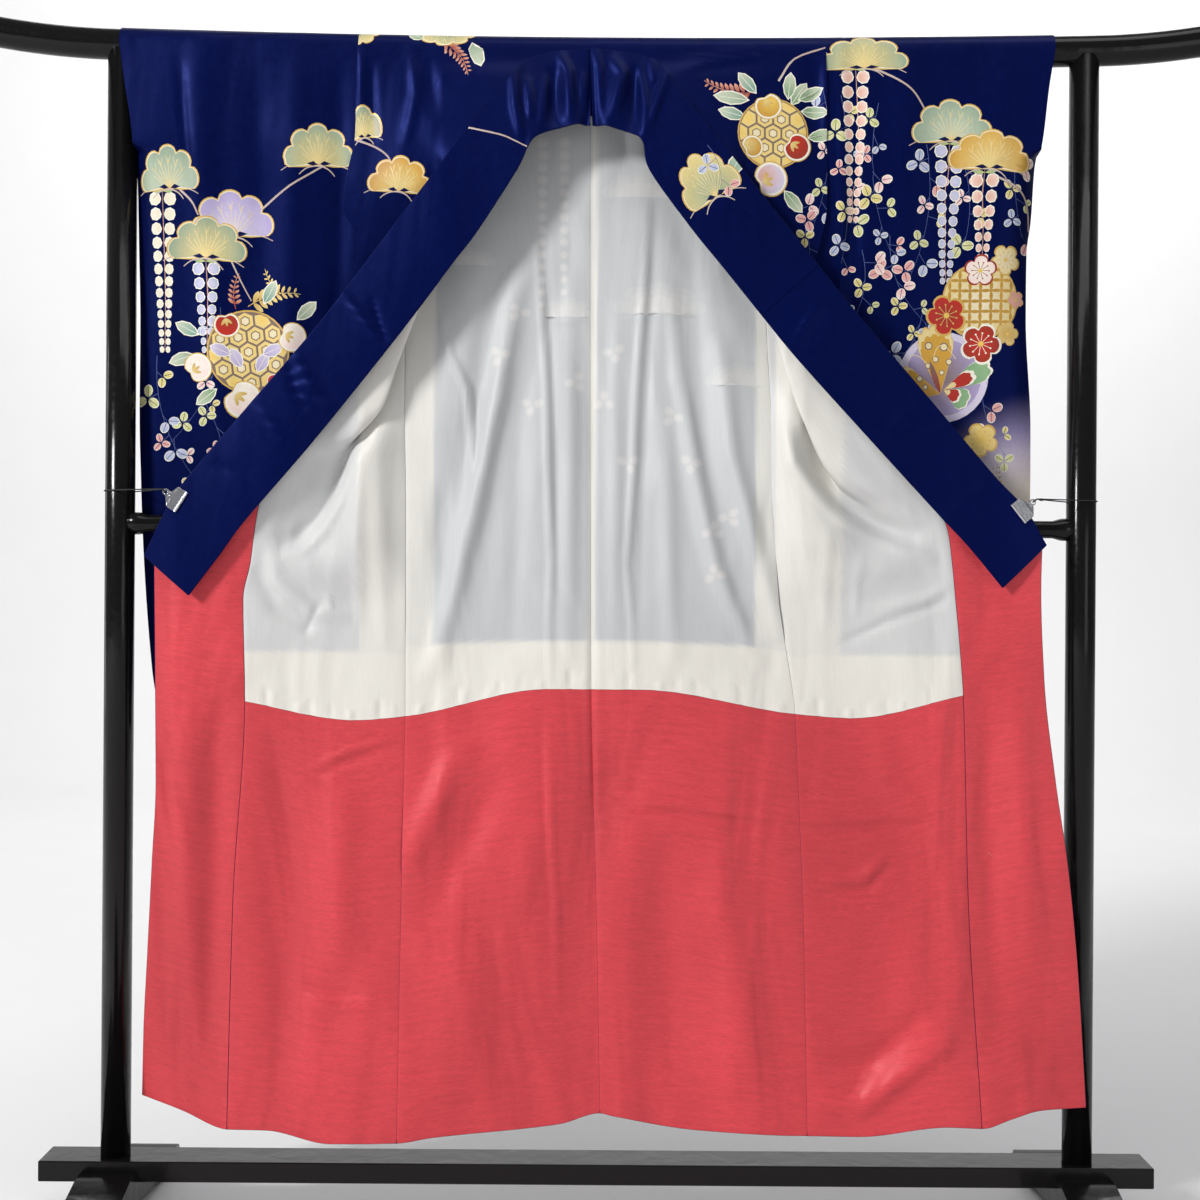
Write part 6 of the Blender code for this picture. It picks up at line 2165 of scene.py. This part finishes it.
# The studio's floor, which bends up into its backdrop
SWEEP_FRONT_Y = -9.0
SWEEP_BEND_Y = 5.0
SWEEP_BEND_RADIUS = 1.5
SWEEP_HALF_WIDTH = 9.0
SWEEP_TOP_Z = 8.0
BEND_STEPS = 24


def build_stage(looks):
    """A pale floor that sweeps up behind, soft lights in front and above, and the camera."""
    paper = stage_material(tuple(looks.paper_colour))
    mesh = bpy.data.meshes.new("studio_sweep")
    profile = [(SWEEP_FRONT_Y, 0.0), (SWEEP_BEND_Y, 0.0)]
    for turn in steps(0, pi / 2, BEND_STEPS)[1:]:
        profile.append((SWEEP_BEND_Y + SWEEP_BEND_RADIUS * sin(turn),
                        SWEEP_BEND_RADIUS - SWEEP_BEND_RADIUS * cos(turn)))
    profile.append((SWEEP_BEND_Y + SWEEP_BEND_RADIUS, SWEEP_TOP_Z))
    points = [(x, y, z) for x in (-SWEEP_HALF_WIDTH, SWEEP_HALF_WIDTH) for y, z in profile]
    count = len(profile)
    mesh.from_pydata(points, [], [(i, i + count, i + count + 1, i + 1) for i in range(count - 1)])
    mesh.shade_smooth()
    sweep = add_piece("studio_sweep", mesh, paper)
    for name, place, aim, size, power in (
            ("key_light", (-5.0, -4.4, 4.2), (0, 0, 0.9), (1.3, 1.3), 430 * looks.light),
            ("fill_light", (2.6, -3.4, 1.2), (0, 0, 0.8), (1.6, 2.0), 16 * looks.light),
            ("top_light", (0.6, -0.9, 4.2), (0.2, 0.2, 0.2), (3.0, 1.2), 26 * looks.light),
            ("backdrop_light", (0.4, 3.2, 5.2), (-0.2, 6.5, 1.6), (8.0, 1.4), 225 * looks.light),
            ("rim_light", (-2.7, 0.9, 1.3), (-0.6, 0.0, 0.9), (0.35, 2.2), 7 * looks.light)):
        light = bpy.data.lights.new(name, "AREA")
        light.shape = "RECTANGLE"
        light.size, light.size_y = size
        light.energy = power
        light.color = (1.0, 0.985, 0.965)
        made = bpy.data.objects.new(name, light)
        made.location = place
        made.rotation_euler = (Vector(aim) - Vector(place)).to_track_quat("-Z", "Y").to_euler()
        bpy.context.scene.collection.objects.link(made)
    world = bpy.data.worlds.new("studio_air")
    world.use_nodes = True
    world.node_tree.nodes["Background"].inputs["Color"].default_value = (0.93, 0.95, 1.0, 1)
    world.node_tree.nodes["Background"].inputs["Strength"].default_value = looks.air
    bpy.context.scene.world = world
    bpy.context.scene.view_settings.view_transform = "Standard"
    lens = bpy.data.cameras.new("camera")
    lens.sensor_width = 36.0
    lens.lens = CAMERA_FOCAL_PX / FRAME_PX * lens.sensor_width
    lens.clip_end = 50
    camera = bpy.data.objects.new("camera", lens)
    c, s = cos(CAMERA_ROLL), sin(CAMERA_ROLL)
    x, y, z = CAMERA_AT
    camera.matrix_world = Matrix(((c, -s, 0, x), (0, 0, -1, y), (s, c, 0, z), (0, 0, 0, 1)))
    bpy.context.scene.collection.objects.link(camera)
    bpy.context.scene.camera = camera


class KimonoLooks(bpy.types.PropertyGroup):
    """Colours of the garment, its stand and the studio."""
    silk_colour: FloatVectorProperty(
        name="Silk", description="Ground colour of the outer silk", default=(0.0015, 0.0044, 0.052),
        subtype="COLOR", min=0, max=1)
    upper_lining_colour: FloatVectorProperty(
        name="Upper Lining", description="Colour of the white body lining", default=(0.78, 0.78, 0.75),
        subtype="COLOR", min=0, max=1)
    lower_lining_colour: FloatVectorProperty(
        name="Lower Lining", description="Colour of the red hem lining", default=(0.68, 0.062, 0.078),
        subtype="COLOR", min=0, max=1)
    lacquer_colour: FloatVectorProperty(
        name="Lacquer", description="Colour of the stand", default=(0.004, 0.0037, 0.004), subtype="COLOR",
        min=0, max=1)
    lacquer_roughness: FloatProperty(
        name="Lacquer Roughness", description="How dull the stand's lacquer is", default=0.12, min=0, max=1,
        subtype="FACTOR")
    paper_colour: FloatVectorProperty(
        name="Studio", description="Colour of floor and backdrop", default=(0.87, 0.87, 0.88),
        subtype="COLOR", min=0, max=1)
    light: FloatProperty(
        name="Lights", description="Strength of the studio lights", default=1.0, min=0, max=5)
    air: FloatProperty(
        name="Surroundings", description="Strength of the light from all around", default=0.22, min=0,
        max=5)


def both_sides(build):
    for side in (LEFT, RIGHT):
        build(side)
    return {"FINISHED"}


class KIMONO_OT_finishes(bpy.types.Operator):
    """Make the silks, the lacquer, the chrome and the elastic"""
    bl_idname = "kimono.finishes"
    bl_label = "Finishes"

    def execute(self, context):
        make_finishes()
        return {"FINISHED"}


class KIMONO_OT_body(bpy.types.Operator):
    """Build the two body lengths, from the back hem over the bar to the front hem"""
    bl_idname = "kimono.body"
    bl_label = "Body"

    def execute(self, context):
        return both_sides(build_body)


class KIMONO_OT_overlaps(bpy.types.Operator):
    """Build the two tapered overlap panels"""
    bl_idname = "kimono.overlaps"
    bl_label = "Overlap Panels"

    def execute(self, context):
        return both_sides(build_overlap)


class KIMONO_OT_sleeves(bpy.types.Operator):
    """Build the long sleeves with their dyed pattern"""
    bl_idname = "kimono.sleeves"
    bl_label = "Sleeves"

    def execute(self, context):
        return both_sides(build_sleeve)


class KIMONO_OT_collar(bpy.types.Operator):
    """Build the collar and the shorter collar over it"""
    bl_idname = "kimono.collar"
    bl_label = "Collar"

    def execute(self, context):
        return both_sides(build_collar)


class KIMONO_OT_linings(bpy.types.Operator):
    """Build the white upper and the red lower linings"""
    bl_idname = "kimono.linings"
    bl_label = "Linings"

    def execute(self, context):
        return both_sides(build_linings)


class KIMONO_OT_clips(bpy.types.Operator):
    """Build the spring clips and their elastic loops"""
    bl_idname = "kimono.clips"
    bl_label = "Clips"

    def execute(self, context):
        return both_sides(build_clip)


class KIMONO_OT_stand(bpy.types.Operator):
    """Build the lacquered stand"""
    bl_idname = "kimono.stand"
    bl_label = "Stand"

    def execute(self, context):
        build_stand()
        return {"FINISHED"}


class KIMONO_OT_stage(bpy.types.Operator):
    """Build the floor, the backdrop, the lights and the camera"""
    bl_idname = "kimono.stage"
    bl_label = "Stage"

    def execute(self, context):
        build_stage(context.scene.kimono_looks)
        return {"FINISHED"}


OPERATORS = (KIMONO_OT_finishes, KIMONO_OT_body, KIMONO_OT_overlaps, KIMONO_OT_sleeves, KIMONO_OT_collar,
             KIMONO_OT_linings, KIMONO_OT_clips, KIMONO_OT_stand, KIMONO_OT_stage)


class KIMONO_PT_panel(bpy.types.Panel):
    """Colours of the kimono and the steps that build it"""
    bl_idname = "KIMONO_PT_panel"
    bl_label = "Kimono on a Stand"
    bl_space_type = "VIEW_3D"
    bl_region_type = "UI"
    bl_category = "Kimono"

    def draw(self, context):
        looks = context.scene.kimono_looks
        for name in KimonoLooks.__annotations__:
            self.layout.prop(looks, name)
        for operator in OPERATORS:
            self.layout.operator(operator.bl_idname)


CLASSES = (KimonoLooks, *OPERATORS, KIMONO_PT_panel)


def register():
    for made in CLASSES:
        bpy.utils.register_class(made)
    bpy.types.Scene.kimono_looks = PointerProperty(type=KimonoLooks)


def unregister():
    del bpy.types.Scene.kimono_looks
    for made in reversed(CLASSES):
        bpy.utils.unregister_class(made)


def main():
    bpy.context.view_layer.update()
    register()
    for operator in OPERATORS:
        getattr(bpy.ops.kimono, operator.bl_idname.split(".")[1])()


if __name__ == "__main__":
    main()
